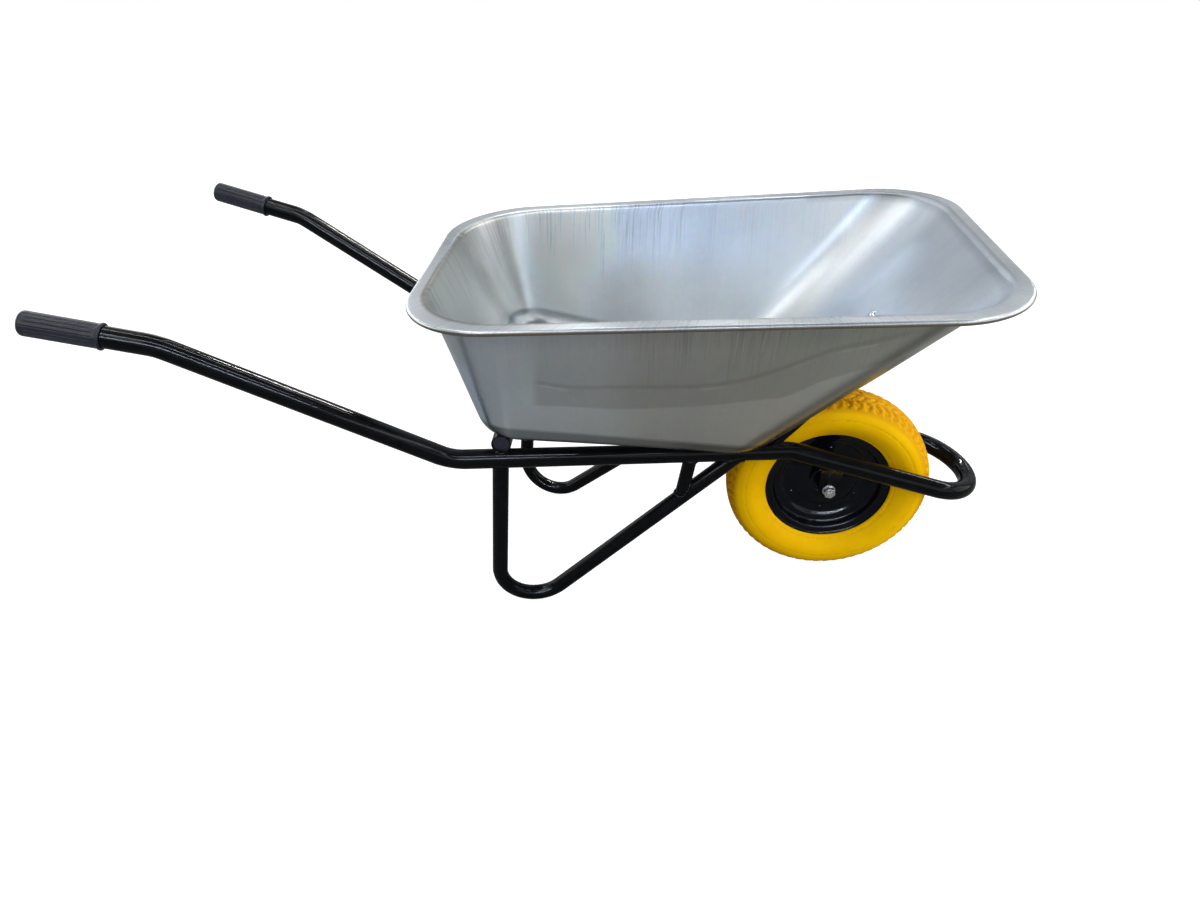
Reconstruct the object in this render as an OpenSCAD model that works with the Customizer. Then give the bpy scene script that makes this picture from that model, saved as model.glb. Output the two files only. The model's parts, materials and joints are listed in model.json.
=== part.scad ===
// Single-wheel builder's wheelbarrow: a deep-drawn steel tray on a bent tube frame.
// +X points to the wheel, +Y to the left of the person pushing it, +Z up; Z = 0 is the ground.
// The origin is the middle of the barrow's footprint box, on the ground.

/* [Frame] */
// Outside diameter of the frame tube
frame_d = 33; // [32:0.5:34]
// Wall of the frame tube
frame_wall = 1.5; // [1.5:0.25:2.5]
// Radius of the bends beside the handles
handle_bend = 110; // [90:5:120]
// Radius of the bends behind the wheel
neck_bend = 90; // [70:5:100]
// Half the distance between the two handles' rear ends
handle_half = 312.5; // [305:0.5:320]
// Height of the handles' rear ends
handle_z = 616; // [600:1:630]

/* [Legs] */
// Outside diameter of the leg tubes
leg_d = 28; // [26:0.5:29]
// Wall of the leg tubes
leg_wall = 1.5; // [1.5:0.25:2.5]
// Radius of the foot bend, on the centre line
foot_bend = 67; // [62:1:72]
// Outside diameter of the struts
strut_d = 24; // [22:0.5:25]

/* [Tray] */
// Thickness of the tray's sheet
sheet = 1; // [1:0.1:1.5]
// Radius of the rolled edge
bead_r = 4.6; // [4.4:0.1:5]
// Width of the flat flange with its rolled edge
flange_w = 28; // [26:0.5:30]
// Height of the rim at the rear
rim_rear_z = 602; // [598:1:606]
// Height of the rim at the front
rim_front_z = 670; // [666:1:674]

/* [Wheel] */
// Outside diameter of the tyre
tyre_d = 380; // [376:1:382]
// Width of the tyre
tyre_w = 94; // [90:1:96]
// Diameter of the axle bolt
axle_d = 12; // [12:0.5:12]
// Distance between the outer faces of the two bearings
hub_w = 66; // [64:1:68]

/* [Grips] */
// Outside diameter of a grip
grip_d = 37; // [36:0.5:38]
// Length of a grip
grip_l = 109; // [104:1:112]

/* [Hidden] */

// Colours
enamel = [0.03, 0.03, 0.035]; zinc = [0.78, 0.79, 0.8]; galvanised = [0.68, 0.71, 0.74];
plastic = [0.05, 0.06, 0.08]; foam = [0.95, 0.74, 0.04]; bright = [0.7, 0.71, 0.73]; nitrile = [0.1, 0.1, 0.1];

// The axle's place
ax = 481.89;
az = tyre_d / 2;
fr = frame_d / 2;
lr = leg_d / 2;
// A bend is this much thinner than its straights, and laps into them, so that the two meet on a clean edge
step = 0.05;
lap = 0.5;

function unit(v) = v / norm(v);
function turn(a, b) = acos(max(-1, min(1, unit(a) * unit(b))));
function mirrored(v) = [v[0], -v[1], v[2]];
function flip(p) = [for (i = [len(p) - 1 : -1 : 0]) mirrored(p[i])];
// Point of the line through a and b where X is x
function at_x(a, b, x) = a + (b - a) * ((x - a[0]) / (b[0] - a[0]));
// Length that a bend takes off each of its two straights
function cut(p, r, i) = i <= 0 || i >= len(p) - 1 ? 0 : r[i] * tan(turn(p[i] - p[i - 1], p[i + 1] - p[i]) / 2);

// Puts +Z onto the direction d
module aim(d) { rotate([0, acos(d[2] / norm(d)), atan2(d[1], d[0])]) children(); }

// Puts +X and +Z onto x and z, which are square to each other
module frame_xz(x, z) {
  a = atan2(z[1], z[0]);
  e = acos(max(-1, min(1, z[2])));
  x1 = [cos(e) * cos(a), cos(e) * sin(a), -sin(e)];
  y1 = [-sin(a), cos(a), 0];
  rotate([0, e, a]) rotate([0, 0, atan2(x * y1, x * x1)]) children();
}

// A round bar through the corner points p, with the bend radii r; over lengthens both ends
module bar(p, r, t, over = 0) {
  n = len(p) - 2;
  for (i = [0 : n]) {
    d = unit(p[i + 1] - p[i]);
    a = cut(p, r, i) - (i == 0 ? over : 0);
    b = cut(p, r, i + 1) - (i == n ? over : 0);
    translate(p[i] + d * a) aim(d) cylinder(r = t, h = norm(p[i + 1] - p[i]) - a - b, $fn = 64);
  }
  if (n > 0) for (i = [1 : n]) {
    u = unit(p[i] - p[i - 1]);
    v = unit(p[i + 1] - p[i]);
    w = unit(cross(u, v));
    x = -unit(cross(w, u));
    k = lap / r[i] * 180 / PI;
    translate(p[i] - u * cut(p, r, i) - x * r[i]) frame_xz(x, w) rotate([0, 0, -k])
      rotate_extrude(angle = turn(u, v) + 2 * k, $fn = 96) translate([r[i], 0]) circle(r = t - step, $fn = 64);
  }
}
module tube(p, r, t, wall) { difference() { bar(p, r, t); bar(p, r, t - wall, 1); } }

// ---- frame -------------------------------------------------------------------------------------
grip_a = [ax - 1236, handle_half, handle_z];
bend_1 = [ax - 1062, 292.4, 576];
bend_2 = [ax - 667, 224.4, 351.4];
bend_3 = [ax - 92, 83, 304];
hoop_c = [ax + 259, 83, 213];
hoop_r = 82;
grip_dir = unit(bend_1 - grip_a);
tube_a = grip_a + grip_dir * 6;
half = [tube_a, bend_1, bend_2, bend_3, hoop_c];
frame_p = concat([for (q = half) mirrored(q)], [for (i = [len(half) - 1 : -1 : 0]) half[i]]);
frame_r = [0, handle_bend, handle_bend, neck_bend, hoop_r, hoop_r, neck_bend, handle_bend, handle_bend, 0];

module frame_tube() { color(enamel) tube(frame_p, frame_r, fr, frame_wall); }

// The straight of the frame tube that carries the tray, on the left, as a solid bar
module carrying_bar() { bar([at_x(bend_2, bend_3, ax - 640), at_x(bend_2, bend_3, ax - 112)], [0, 0], fr); }
module both() { children(); mirror([0, 1, 0]) children(); }

// ---- legs --------------------------------------------------------------------------------------
leg_top = [ax - 592, 190, 346];
leg_front = [ax - 188, 109, 306.5];
// The corner's height puts the foot's lowest point on the ground: the second guess corrects the first
function leg_pts(z) = [leg_top, [ax - 619, 180.5, z], leg_front];
function foot_low(z) =
  let (p = leg_pts(z), u = unit(p[1] - p[0]), v = unit(p[2] - p[1]), w = unit(cross(u, v)), q = unit(cross(w, u)),
       c = p[1] - u * foot_bend * tan(turn(u, v) / 2) + q * foot_bend)
  c[2] - foot_bend * sqrt(1 - w[2] * w[2]) - (lr - step);
z_a = -77 - foot_low(-77);
z_b = z_a - foot_low(z_a);
leg_corner = [ax - 619, 180.5, z_b - foot_low(z_b)];
leg_p = [leg_top + unit(leg_top - leg_corner) * 6, leg_corner, leg_front];

module leg() { color(enamel) difference() { tube(leg_p, [0, foot_bend, 0], lr, leg_wall); carrying_bar(); } }
module leg_left() { leg(); }
module leg_right() { mirror([0, 1, 0]) leg(); }

// ---- struts ------------------------------------------------------------------------------------
strut_a = at_x(bend_2, bend_3, ax - 270);
strut_b = at_x(leg_corner, leg_front, ax - 283);
module strut() {
  color(enamel) difference() {
    tube([strut_a, strut_b], [0, 0], strut_d / 2, 1.5);
    carrying_bar();
    bar([at_x(leg_corner, leg_front, ax - 420), leg_front], [0, 0], lr);
  }
}
module strut_left() { strut(); }
module strut_right() { mirror([0, 1, 0]) strut(); }

// ---- what the tray sits on -----------------------------------------------------------------------
// Underside of the tray's floor
floor_rise = -61 / 408;
function under_floor(x) = 394 + floor_rise * (x - ax + 598);
floor_n = unit([-floor_rise, 0, 1]);
floor_u = unit([1, 0, floor_rise]);
cross_x = ax - 586.5;
cross_z = under_floor(cross_x) - fr / floor_n[2] - 0.02;
bolt_r = 4;
hole_r = 4.5;
rear_bolt_y = 120;
plate_x = ax - 190;
plate_t = 5;
plate_bolt_y = 70;
// The sheet's thickness measured straight up through the floor
floor_up = sheet / floor_n[2];
// Places of the tray's bolts on its underside, with the outward direction there
slope_low = [ax - 136, 0, under_floor(ax - 136) + floor_up];
slope_top = [ax + 191 - flange_w, 0, rim_rear_z + (rim_front_z - rim_rear_z) * (922 - flange_w) / 922];
slope_u = unit(slope_top - slope_low);
slope_n = [-slope_u[2], 0, slope_u[0]];
stay_bolt_y = 30;
function on_slope(x) = at_x(slope_low, slope_top, x) - slope_n * sheet;
stay_x = ax + 33;
bolt_at = [for (s = [-1, 1]) each [
  [[cross_x + 2, s * rear_bolt_y, under_floor(cross_x + 2)], floor_n, 2 * fr + 0.6],
  [[plate_x, s * plate_bolt_y, under_floor(plate_x)], floor_n, plate_t],
  [on_slope(stay_x) + [0, s * stay_bolt_y, 0], slope_n, 3]]];
// A bar along each bolt, through what it fastens
module bolt_holes(r) { for (b = bolt_at) translate(b[0] - b[1] * 60) aim(b[1]) cylinder(r = r, h = 90, $fn = 32); }

module rear_crossbar() {
  color(enamel) difference() {
    tube([[cross_x, -211, cross_z], [cross_x, 211, cross_z]], [0, 0], fr, frame_wall);
    both() carrying_bar();
    bolt_holes(hole_r);
  }
}
// Plugs pressed into the crossbar's two ends, a little below the tube's edge
plug_r = fr - frame_wall - 0.02;
module crossbar_plugs() {
  color(plastic) difference() {
    for (s = [-1, 1]) translate([cross_x, s * 211, cross_z]) rotate([s * 90, 0, 0]) rotate_extrude($fn = 64)
      polygon([[0, 0.1], [plug_r * 0.5, 0.35], [plug_r * 0.8, 0.8], [plug_r - 0.8, 1.3], [plug_r, 2.2], [plug_r, 6], [0, 6]]);
    both() carrying_bar();
  }
}
module front_cross_plate() {
  color(enamel) difference() {
    translate([plate_x, 0, under_floor(plate_x)]) aim(floor_n) translate([-15, -113, -plate_t]) cube([30, 226, plate_t - 0.02]);
    both() carrying_bar();
    bolt_holes(hole_r);
  }
}
// The stay is a round tube bent to a U, up both sides of the wheel under the tray's front slope
stay_r = 8;
stay_plate_t = 3;
stay_off = slope_n * -(stay_plate_t + stay_r);
stay_c = on_slope(stay_x - 16) + stay_off;
stay_a = on_slope(ax - 118) + stay_off - slope_u * 36;
stay_p = [stay_a + [0, -91, 0], stay_c + [0, -70, 0], stay_c + [0, 70, 0], stay_a + [0, 91, 0]];
module front_stay() {
  color(enamel) difference() {
    tube(stay_p, [0, 32, 32, 0], stay_r, 1.5);
    both() bar([at_x(bend_2, bend_3, ax - 260), at_x(bend_2, bend_3, ax - 95)], [0, 0], fr);
  }
}
module front_stay_plate() {
  color(enamel) difference() {
    translate(on_slope(stay_x) - slope_n * stay_plate_t) frame_xz(slope_u, slope_n) translate([-26, -45, 0]) cube([40, 90, stay_plate_t - 0.02]);
    bolt_holes(hole_r);
  }
}

// ---- axle brackets -----------------------------------------------------------------------------
bracket_t = 4;
bracket_y = 37;
// Section of the bent strip across the barrow, from the axle up to the tube
module bracket_strip() {
  rotate([90, 0, 90]) linear_extrude(height = 80, center = true)
    polygon([[bracket_y, az - 30], [bracket_y + bracket_t, az - 30], [bracket_y + bracket_t, az + 32.5],
             [76, az + 80], [71, az + 83], [bracket_y, az + 34]]);
}
// Outline of the bracket seen from the side
module bracket_face() {
  rotate([90, 0, 0]) linear_extrude(height = 260, center = true) union() {
    circle(r = 18, $fn = 64);
    polygon([[-17.6, -3.8], [17.6, -3.8], [19, 90], [-27, 90]]);
  }
}
hoop_bar = [at_x(bend_3, hoop_c, ax - 60), at_x(bend_3, hoop_c, ax + 90)];
module axle_bracket() {
  color(enamel) difference() {
    intersection() { translate([ax, 0, 0]) bracket_strip(); translate([ax, 0, az]) bracket_face(); }
    bar(hoop_bar, [0, 0], fr);
    translate([ax, 0, az]) rotate([-90, 0, 0]) cylinder(r = axle_d / 2 + 0.2, h = 60, $fn = 48);
  }
}
module axle_bracket_left() { axle_bracket(); }
module axle_bracket_right() { mirror([0, 1, 0]) axle_bracket(); }

// ---- grips -------------------------------------------------------------------------------------
module grip() {
  g = grip_d / 2;
  color(plastic) translate(grip_a) aim(grip_dir) rotate_extrude($fn = 96) union() {
    translate([0, 0]) square([g - 6, 5]);
    translate([g - 6, 6]) intersection() { circle(r = 6, $fn = 48); translate([0, -6]) square([6, 6]); }
    translate([fr + 0.1, 5.9]) square([g - fr - 0.1, grip_l - 5.9]);
    translate([fr + 0.1, 5]) square([g - 6 - fr - 0.1 + 0.5, 1]);
    translate([g - 7, 0]) square([1.01, 6]);
    translate([fr + 0.1, grip_l - 11]) square([g + 1.8 - fr - 0.1, 5]);
  }
}
module grip_left() { grip(); }
module grip_right() { mirror([0, 1, 0]) grip(); }

// ---- tray --------------------------------------------------------------------------------------
// Points of a rounded trapezoid from xr to xf, half width wr at the rear and wf at the front, with the corner radii
// rr and rf: every outline gets the same count of points, so that outlines at different heights can be joined
arc_n = 9;
side_n = 4;
function corner(a, b, c, r) =
  let (u = unit(a - b), v = unit(c - b), g = acos(u * v), p = b + u * (r / tan(g / 2)), q = b + v * (r / tan(g / 2)),
       m = b + unit(u + v) * (r / sin(g / 2)),
       s = atan2(p[1] - m[1], p[0] - m[0]), e = atan2(q[1] - m[1], q[0] - m[0]), d = ((e - s + 540) % 360) - 180)
  [for (k = [0 : arc_n]) m + r * [cos(s + d * k / arc_n), sin(s + d * k / arc_n)]];
function outline(xr, wr, xf, wf, rr, rf) =
  let (c = [[xr, -wr], [xf, -wf], [xf, wf], [xr, wr]], r = [rr, rf, rf, rr],
       arcs = [for (i = [0 : 3]) corner(c[(i + 3) % 4], c[i], c[(i + 1) % 4], r[i])])
  [for (i = [0 : 3]) each concat(arcs[i],
    [for (k = [1 : side_n - 1]) arcs[i][arc_n] + (arcs[(i + 1) % 4][0] - arcs[i][arc_n]) * k / side_n])];
function rim_z(x) = rim_rear_z + (rim_front_z - rim_rear_z) * (x - ax + 731) / 922;
rim_o = outline(ax - 731, 281.5, ax + 191, 303, 145, 135);
wall_o = outline(ax - 731 + flange_w, 281.5 - flange_w, ax + 191 - flange_w, 303 - flange_w, 140, 120);
floor_o = outline(ax - 617, 235, ax - 136, 150, 46, 108);
ns = len(rim_o);
rim_up = unit([rim_front_z - rim_rear_z, 0, -922]) * -1;
// The sheet's upper face at station k: the edge of the floor, the wall, the flange and the rolled edge
function bez(a, b, c, s) = a * (1 - s) * (1 - s) + b * 2 * s * (1 - s) + c * s * s;
floor_mid = ax - 376;
function skin(k) =
  let (f = [floor_o[k][0], floor_o[k][1], under_floor(floor_o[k][0]) + floor_up],
       w = [wall_o[k][0], wall_o[k][1], rim_z(wall_o[k][0])],
       o = [rim_o[k][0], rim_o[k][1], rim_z(rim_o[k][0])],
       d = unit(w - f), g = unit(o - w),
       h = unit([floor_mid - f[0], -f[1], floor_rise * (floor_mid - f[0])]),
       t = 26 + 9 * (f[0] - ax + 617) / 481,
       e = o - g * bead_r - rim_up * bead_r)
  concat([for (s = [0 : 1 / 6 : 1.001]) bez(f + h * t, f, f + d * t, s)],
         [for (s = [0.36, 0.68]) f + d * t + (w - f - d * (t + 7)) * s],
         [for (s = [0 : 1 / 4 : 1.001]) bez(w - d * 7, w, w + g * 7, s)],
         [for (a = [90 : -30 : -180]) e + (g * cos(a) + rim_up * sin(a)) * bead_r]);
skins = [for (k = [0 : ns - 1]) skin(k)];
nj = len(skins[0]);
function cap(v, a, b) = max(a, min(b, v));
function up_at(k, j) = j == 0 ? floor_n :
  let (a = skins[k][cap(j + 1, 0, nj - 1)] - skins[k][j - 1], b = skins[(k + 1) % ns][j] - skins[(k + ns - 1) % ns][j])
  unit(cross(b, a)) * -1;
backs = [for (k = [0 : ns - 1]) [for (j = [0 : nj - 1]) skins[k][j] - up_at(k, j) * sheet]];
module tray_sheet() {
  face = [for (k = [0 : ns - 1]) each skins[k]];
  back = [for (k = [0 : ns - 1]) each backs[k]];
  b0 = ns * nj;
  polyhedron(points = concat(face, back), convexity = 6, faces = concat(
    [[for (k = [0 : ns - 1]) k * nj]],
    [[for (k = [ns - 1 : -1 : 0]) b0 + k * nj]],
    [for (k = [0 : ns - 1], j = [0 : nj - 2]) let (m = (k + 1) % ns) each
      [[k * nj + j, k * nj + j + 1, m * nj + j + 1], [k * nj + j, m * nj + j + 1, m * nj + j],
       [b0 + k * nj + j, b0 + m * nj + j + 1, b0 + k * nj + j + 1], [b0 + k * nj + j, b0 + m * nj + j, b0 + m * nj + j + 1]]],
    [for (k = [0 : ns - 1]) let (m = (k + 1) % ns, e = nj - 1) each
      [[k * nj + e, b0 + k * nj + e, b0 + m * nj + e], [k * nj + e, b0 + m * nj + e, m * nj + e]]]));
}
module tray() { color(galvanised) difference() { tray_sheet(); bolt_holes(hole_r); } }

// The wire that the tray's edge is rolled round
wire_r = 2.8;
wire_n = 8;
module tray_rim_wire() {
  ring = [for (k = [0 : ns - 1])
    let (w = [wall_o[k][0], wall_o[k][1], rim_z(wall_o[k][0])], o = [rim_o[k][0], rim_o[k][1], rim_z(rim_o[k][0])],
         g = unit(o - w), e = o - g * bead_r - rim_up * bead_r)
    each [for (i = [0 : wire_n - 1]) e + (g * cos(360 * i / wire_n) + rim_up * sin(360 * i / wire_n)) * wire_r]];
  color(bright) polyhedron(points = ring, convexity = 4, faces =
    [for (k = [0 : ns - 1], i = [0 : wire_n - 1]) let (m = (k + 1) % ns, q = (i + 1) % wire_n) each
      [[k * wire_n + i, k * wire_n + q, m * wire_n + q], [k * wire_n + i, m * wire_n + q, m * wire_n + i]]]);
}

// ---- tray fasteners ----------------------------------------------------------------------------
head_t = 4.2;
washer_t = 1.6;
nut_t = 6.5;
// Coach bolt with a domed head, standing on the face at z = 0, its shank going down through depth
module coach_bolt(depth) {
  rotate_extrude($fn = 48) union() {
    intersection() { translate([0, head_t - 14]) circle(r = 14, $fn = 96); square([9.6, 10]); }
    translate([0, -depth]) square([bolt_r, depth + 0.5]);
  }
}
module place_bolts() { for (b = bolt_at) translate(b[0]) aim(b[1]) { $grip = b[2]; children(); } }
module tray_bolts() { color(zinc) place_bolts() translate([0, 0, sheet + 0.02]) coach_bolt($grip + sheet + washer_t + nut_t + 4); }
module tray_washers() {
  color(zinc) place_bolts() translate([0, 0, -$grip - washer_t]) difference() {
    cylinder(r = 8.5, h = washer_t, $fn = 48);
    translate([0, 0, -1]) cylinder(r = bolt_r + 0.2, h = 5, $fn = 32);
  }
}
module tray_nuts() {
  color(zinc) place_bolts() translate([0, 0, -$grip - washer_t - nut_t]) difference() {
    cylinder(r = 13 / sqrt(3), h = nut_t, $fn = 6);
    translate([0, 0, -1]) cylinder(r = bolt_r + 0.03, h = 10, $fn = 32);
  }
}

// ---- axle --------------------------------------------------------------------------------------
// Everything here is drawn round the Y axis, then moved to the axle
module on_axle() { translate([ax, 0, az]) rotate([-90, 0, 0]) children(); }
module ring(r1, r2, z1, z2, n = 96) {
  difference() {
    translate([0, 0, z1]) cylinder(r = r2, h = z2 - z1, $fn = n);
    translate([0, 0, z1 - 1]) cylinder(r = r1, h = z2 - z1 + 2, $fn = n);
  }
}
ar = axle_d / 2;
hub_h = hub_w / 2;
race_w = 10;
out_y = bracket_y + bracket_t;
washer_a = 2.5;
module axle_bolt() {
  color(zinc) on_axle() union() {
    translate([0, 0, -out_y - washer_a - 13.5]) cylinder(r = ar, h = out_y * 2 + 2 * washer_a + 14, $fn = 48);
    translate([0, 0, out_y + washer_a]) cylinder(r = 19 / sqrt(3), h = 7.5, $fn = 6);
  }
}
module axle_nut() {
  color(zinc) on_axle() difference() {
    translate([0, 0, -out_y - washer_a - 10]) cylinder(r = 19 / sqrt(3), h = 10, $fn = 6);
    translate([0, 0, -out_y - 20]) cylinder(r = ar + 0.03, h = 30, $fn = 48);
  }
}
module axle_washers() { color(zinc) on_axle() for (s = [-out_y - washer_a, out_y]) ring(ar + 0.15, 12, s, s + washer_a); }
module axle_collars() { color(zinc) on_axle() for (s = [-bracket_y, hub_h]) ring(ar + 0.15, 9, s, s + bracket_y - hub_h); }
module axle_spacer() { color(bright) on_axle() ring(ar + 0.15, 8.6, -hub_h + race_w, hub_h - race_w); }

// ---- bearings: 12 x 32 x 10, seven balls each ----------------------------------------------------
ball_r = 2.95;
ball_p = 11;
module each_bearing() { on_axle() for (s = [-1, 1]) translate([0, 0, s * (hub_h - race_w / 2)]) children(); }
module race(r1, r2) {
  difference() {
    ring(r1, r2, -race_w / 2, race_w / 2);
    rotate_extrude($fn = 96) translate([ball_p, 0]) circle(r = ball_r + 0.08, $fn = 48);
  }
}
module bearing_inner_races() { color(bright) each_bearing() race(ar + 0.02, 9); }
module bearing_outer_races() { color(bright) each_bearing() race(13, 16); }
module bearing_balls() { color(bright) each_bearing() for (i = [0 : 6]) rotate([0, 0, i * 360 / 7]) translate([ball_p, 0, 0]) sphere(r = ball_r, $fn = 32); }
module bearing_seals() { color(nitrile) each_bearing() for (z = [-4.8, 3.8]) ring(9.15, 13, z, z + 1); }

// ---- hub and rim -------------------------------------------------------------------------------
module hub_tube() {
  color(enamel) on_axle() difference() {
    translate([0, 0, -hub_h]) cylinder(r = 19, h = hub_w, $fn = 96);
    translate([0, 0, -hub_h - 1]) cylinder(r = 14.5, h = hub_w + 2, $fn = 96);
    for (s = [-1, 1]) translate([0, 0, s * (hub_h - race_w / 2)]) translate([0, 0, -race_w / 2 - (s < 0 ? 1 : 0)]) cylinder(r = 16.02, h = race_w + 1, $fn = 96);
  }
}
// Closed outline of a strip of thickness t that lies to the left of the line p
function side(p, i, t) =
  let (a = i > 0 ? unit(p[i] - p[i - 1]) : unit(p[1] - p[0]), b = i < len(p) - 1 ? unit(p[i + 1] - p[i]) : a,
       m = unit(a + b), h = (a[0] * m[0] + a[1] * m[1]))
  p[i] + [-m[1], m[0]] * t / h;
function strip(p, t) = concat(p, [for (i = [len(p) - 1 : -1 : 0]) side(p, i, t)]);
rim_t = 1.6;
// Outer face of a rim half, from the lip to the collar round the hub: radius, distance from the wheel's middle
rim_line = [[115.4, 29.5], [115, 27.2], [112.6, 25.6], [106, 25], [102.6, 23.6], [101, 21], [100, 14], [98.4, 10.4], [95, 8.4], [88.5, 7.6],
            [85, 6], [82, 3.4], [78.5, 1.6], [62, 1.6], [57, 4.6], [34, 4.6], [28, 1.6], [24, 1.6], [21.4, 3.2], [20.7, 6], [20.7, 14]];
rivet_r = 3;
rivet_p = 70;
module rim_half() {
  color(enamel) difference() {
    rotate_extrude($fn = 180) polygon(strip(rim_line, rim_t));
    for (i = [0 : 5]) rotate([0, 0, 30 + 60 * i]) translate([rivet_p, 0, -1]) cylinder(r = rivet_r + 0.02, h = 8, $fn = 32);
  }
}
module rim_left() { on_axle() rim_half(); }
module rim_right() { on_axle() mirror([0, 0, 1]) rim_half(); }
module rim_rivets() {
  color(enamel) on_axle() for (i = [0 : 5]) rotate([0, 0, 30 + 60 * i]) translate([rivet_p, 0, 0]) rotate_extrude($fn = 32) union() {
    translate([0, -rim_t - 0.02]) square([rivet_r, 2 * rim_t + 0.04]);
    for (s = [0, 1]) mirror([0, s]) translate([0, rim_t + 0.02]) intersection() { translate([0, -3]) circle(r = 5.5, $fn = 48); square([5.5, 6]); }
  }
}

// ---- tyre --------------------------------------------------------------------------------------
// Half of the section: the tread, the shoulder, the side wall and the bead, then along the rim's tyre side
tr = tyre_d / 2;
tw = tyre_w / 2;
tread_line = [[tr, 0], [tr, 1.6], [tr - 3.2, 2.6], [tr - 3.2, 5.4], [tr - 0.2, 6.4], [tr - 1.4, 19], [tr - 4.6, 19.8], [tr - 5, 23], [tr - 2.6, 24],
              [tr - 5, 30], [tr - 9.5, 36.2], [tr - 13, 39], [tr - 15, 39.8], [tr - 21, 43.6], [tr - 29, tw - 0.7], [tr - 37, tw], [tr - 45, tw - 0.6],
              [tr - 53, 43.4], [tr - 61, 39], [tr - 68, 34.2], [rim_line[0][0] + 2.6, 31.2], [rim_line[0][0] + 2.1, 30.2]];
seat_line = concat([for (i = [0 : 8]) side(rim_line, i, rim_t + 0.2)], [[93, 6.2], [93, 0]]);
module tyre() {
  h = concat(tread_line, seat_line);
  color(foam) on_axle() rotate_extrude($fn = 180) polygon(concat(h, [for (i = [len(h) - 2 : -1 : 1]) [h[i][0], -h[i][1]]]));
}

frame_tube();
leg_left();
leg_right();
rear_crossbar();
crossbar_plugs();
front_cross_plate();
strut_left();
strut_right();
axle_bracket_left();
axle_bracket_right();
front_stay();
front_stay_plate();
grip_left();
grip_right();
tray();
tray_rim_wire();
tray_bolts();
tray_washers();
tray_nuts();
axle_bolt();
axle_nut();
axle_washers();
axle_collars();
axle_spacer();
bearing_inner_races();
bearing_balls();
bearing_outer_races();
bearing_seals();
hub_tube();
rim_left();
rim_right();
rim_rivets();
tyre();
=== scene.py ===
import json
import math
import bmesh
import bpy
import numpy as np
from mathutils import Matrix, Vector

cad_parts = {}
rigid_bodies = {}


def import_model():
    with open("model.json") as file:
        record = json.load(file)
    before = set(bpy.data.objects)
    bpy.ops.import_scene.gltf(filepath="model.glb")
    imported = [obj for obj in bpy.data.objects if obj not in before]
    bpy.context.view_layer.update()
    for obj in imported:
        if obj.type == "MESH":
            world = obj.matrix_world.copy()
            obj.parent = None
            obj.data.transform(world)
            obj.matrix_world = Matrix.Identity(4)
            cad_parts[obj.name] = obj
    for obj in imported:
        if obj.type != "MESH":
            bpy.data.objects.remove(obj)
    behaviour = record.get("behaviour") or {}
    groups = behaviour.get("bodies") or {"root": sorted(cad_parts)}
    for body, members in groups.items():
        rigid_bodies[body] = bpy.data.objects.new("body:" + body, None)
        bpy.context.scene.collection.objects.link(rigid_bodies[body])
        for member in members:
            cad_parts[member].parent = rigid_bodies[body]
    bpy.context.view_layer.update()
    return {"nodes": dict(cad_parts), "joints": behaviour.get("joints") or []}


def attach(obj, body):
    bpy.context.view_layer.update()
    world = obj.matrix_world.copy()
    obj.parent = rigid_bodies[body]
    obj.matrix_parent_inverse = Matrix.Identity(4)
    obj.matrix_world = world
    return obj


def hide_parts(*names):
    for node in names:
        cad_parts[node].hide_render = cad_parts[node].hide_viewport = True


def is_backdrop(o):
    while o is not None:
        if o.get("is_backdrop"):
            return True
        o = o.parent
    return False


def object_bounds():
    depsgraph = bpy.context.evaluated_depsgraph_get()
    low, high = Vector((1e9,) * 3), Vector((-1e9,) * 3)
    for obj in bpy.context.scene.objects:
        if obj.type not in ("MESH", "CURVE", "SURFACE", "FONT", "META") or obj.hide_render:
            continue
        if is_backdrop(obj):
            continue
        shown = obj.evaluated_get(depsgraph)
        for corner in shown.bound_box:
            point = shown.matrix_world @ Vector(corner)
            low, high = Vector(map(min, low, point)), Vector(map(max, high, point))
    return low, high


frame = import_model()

AX, _, AZ = [v * 1000 for v in frame["joints"][0]["pos_m"]]
NODES = frame["nodes"]
TAU = 2 * math.pi


# ---- small vector and mesh helpers; lengths are in millimetres ----------------------------------
def arr(*v):
    return np.array(v, float)


def unit(v):
    v = np.asarray(v, float)
    return v / np.linalg.norm(v)


def units(v):
    return v / np.maximum(np.linalg.norm(v, axis=-1, keepdims=True), 1e-12)


def smooth(t):
    t = np.clip(t, 0, 1)
    return t * t * (3 - 2 * t)


def wave(seed, x, period, octaves=3):
    """Smooth repeatable noise of about -1..1 along x."""
    rng = np.random.default_rng(seed)
    out = np.zeros_like(np.asarray(x, float))
    for o in range(octaves):
        for _ in range(2):
            f = (1.7 ** o) * rng.uniform(0.8, 1.25) / period
            out = out + np.sin(np.asarray(x) * f * TAU + rng.uniform(0, TAU)) / (1.5 ** o)
    return out / 3.2


class Build:
    """Collects vertices, faces and per-vertex values of one piece."""

    def __init__(self):
        self.v, self.f, self.n, self.a = [], [], 0, {}

    def add(self, v, faces, **values):
        v = np.asarray(v, float).reshape(-1, 3)
        for q in faces:
            self.f.extend((np.asarray(q) + self.n).tolist())
        for k, a in values.items():
            self.a.setdefault(k, []).append((self.n, np.asarray(a, float)))
        self.v.append(v)
        self.n += len(v)
        return self


def quads(nr, nc, loop_c=True, loop_r=False):
    r = np.arange(nr if loop_r else nr - 1)
    c = np.arange(nc if loop_c else nc - 1)
    r, c = np.meshgrid(r, c, indexing="ij")
    r2, c2 = (r + 1) % nr, (c + 1) % nc
    return np.stack([r * nc + c, r * nc + c2, r2 * nc + c2, r2 * nc + c], -1).reshape(-1, 4)


def fan(ring, centre):
    ring = np.asarray(ring)
    return np.stack([ring, np.roll(ring, -1), np.full(len(ring), centre)], -1)


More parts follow.
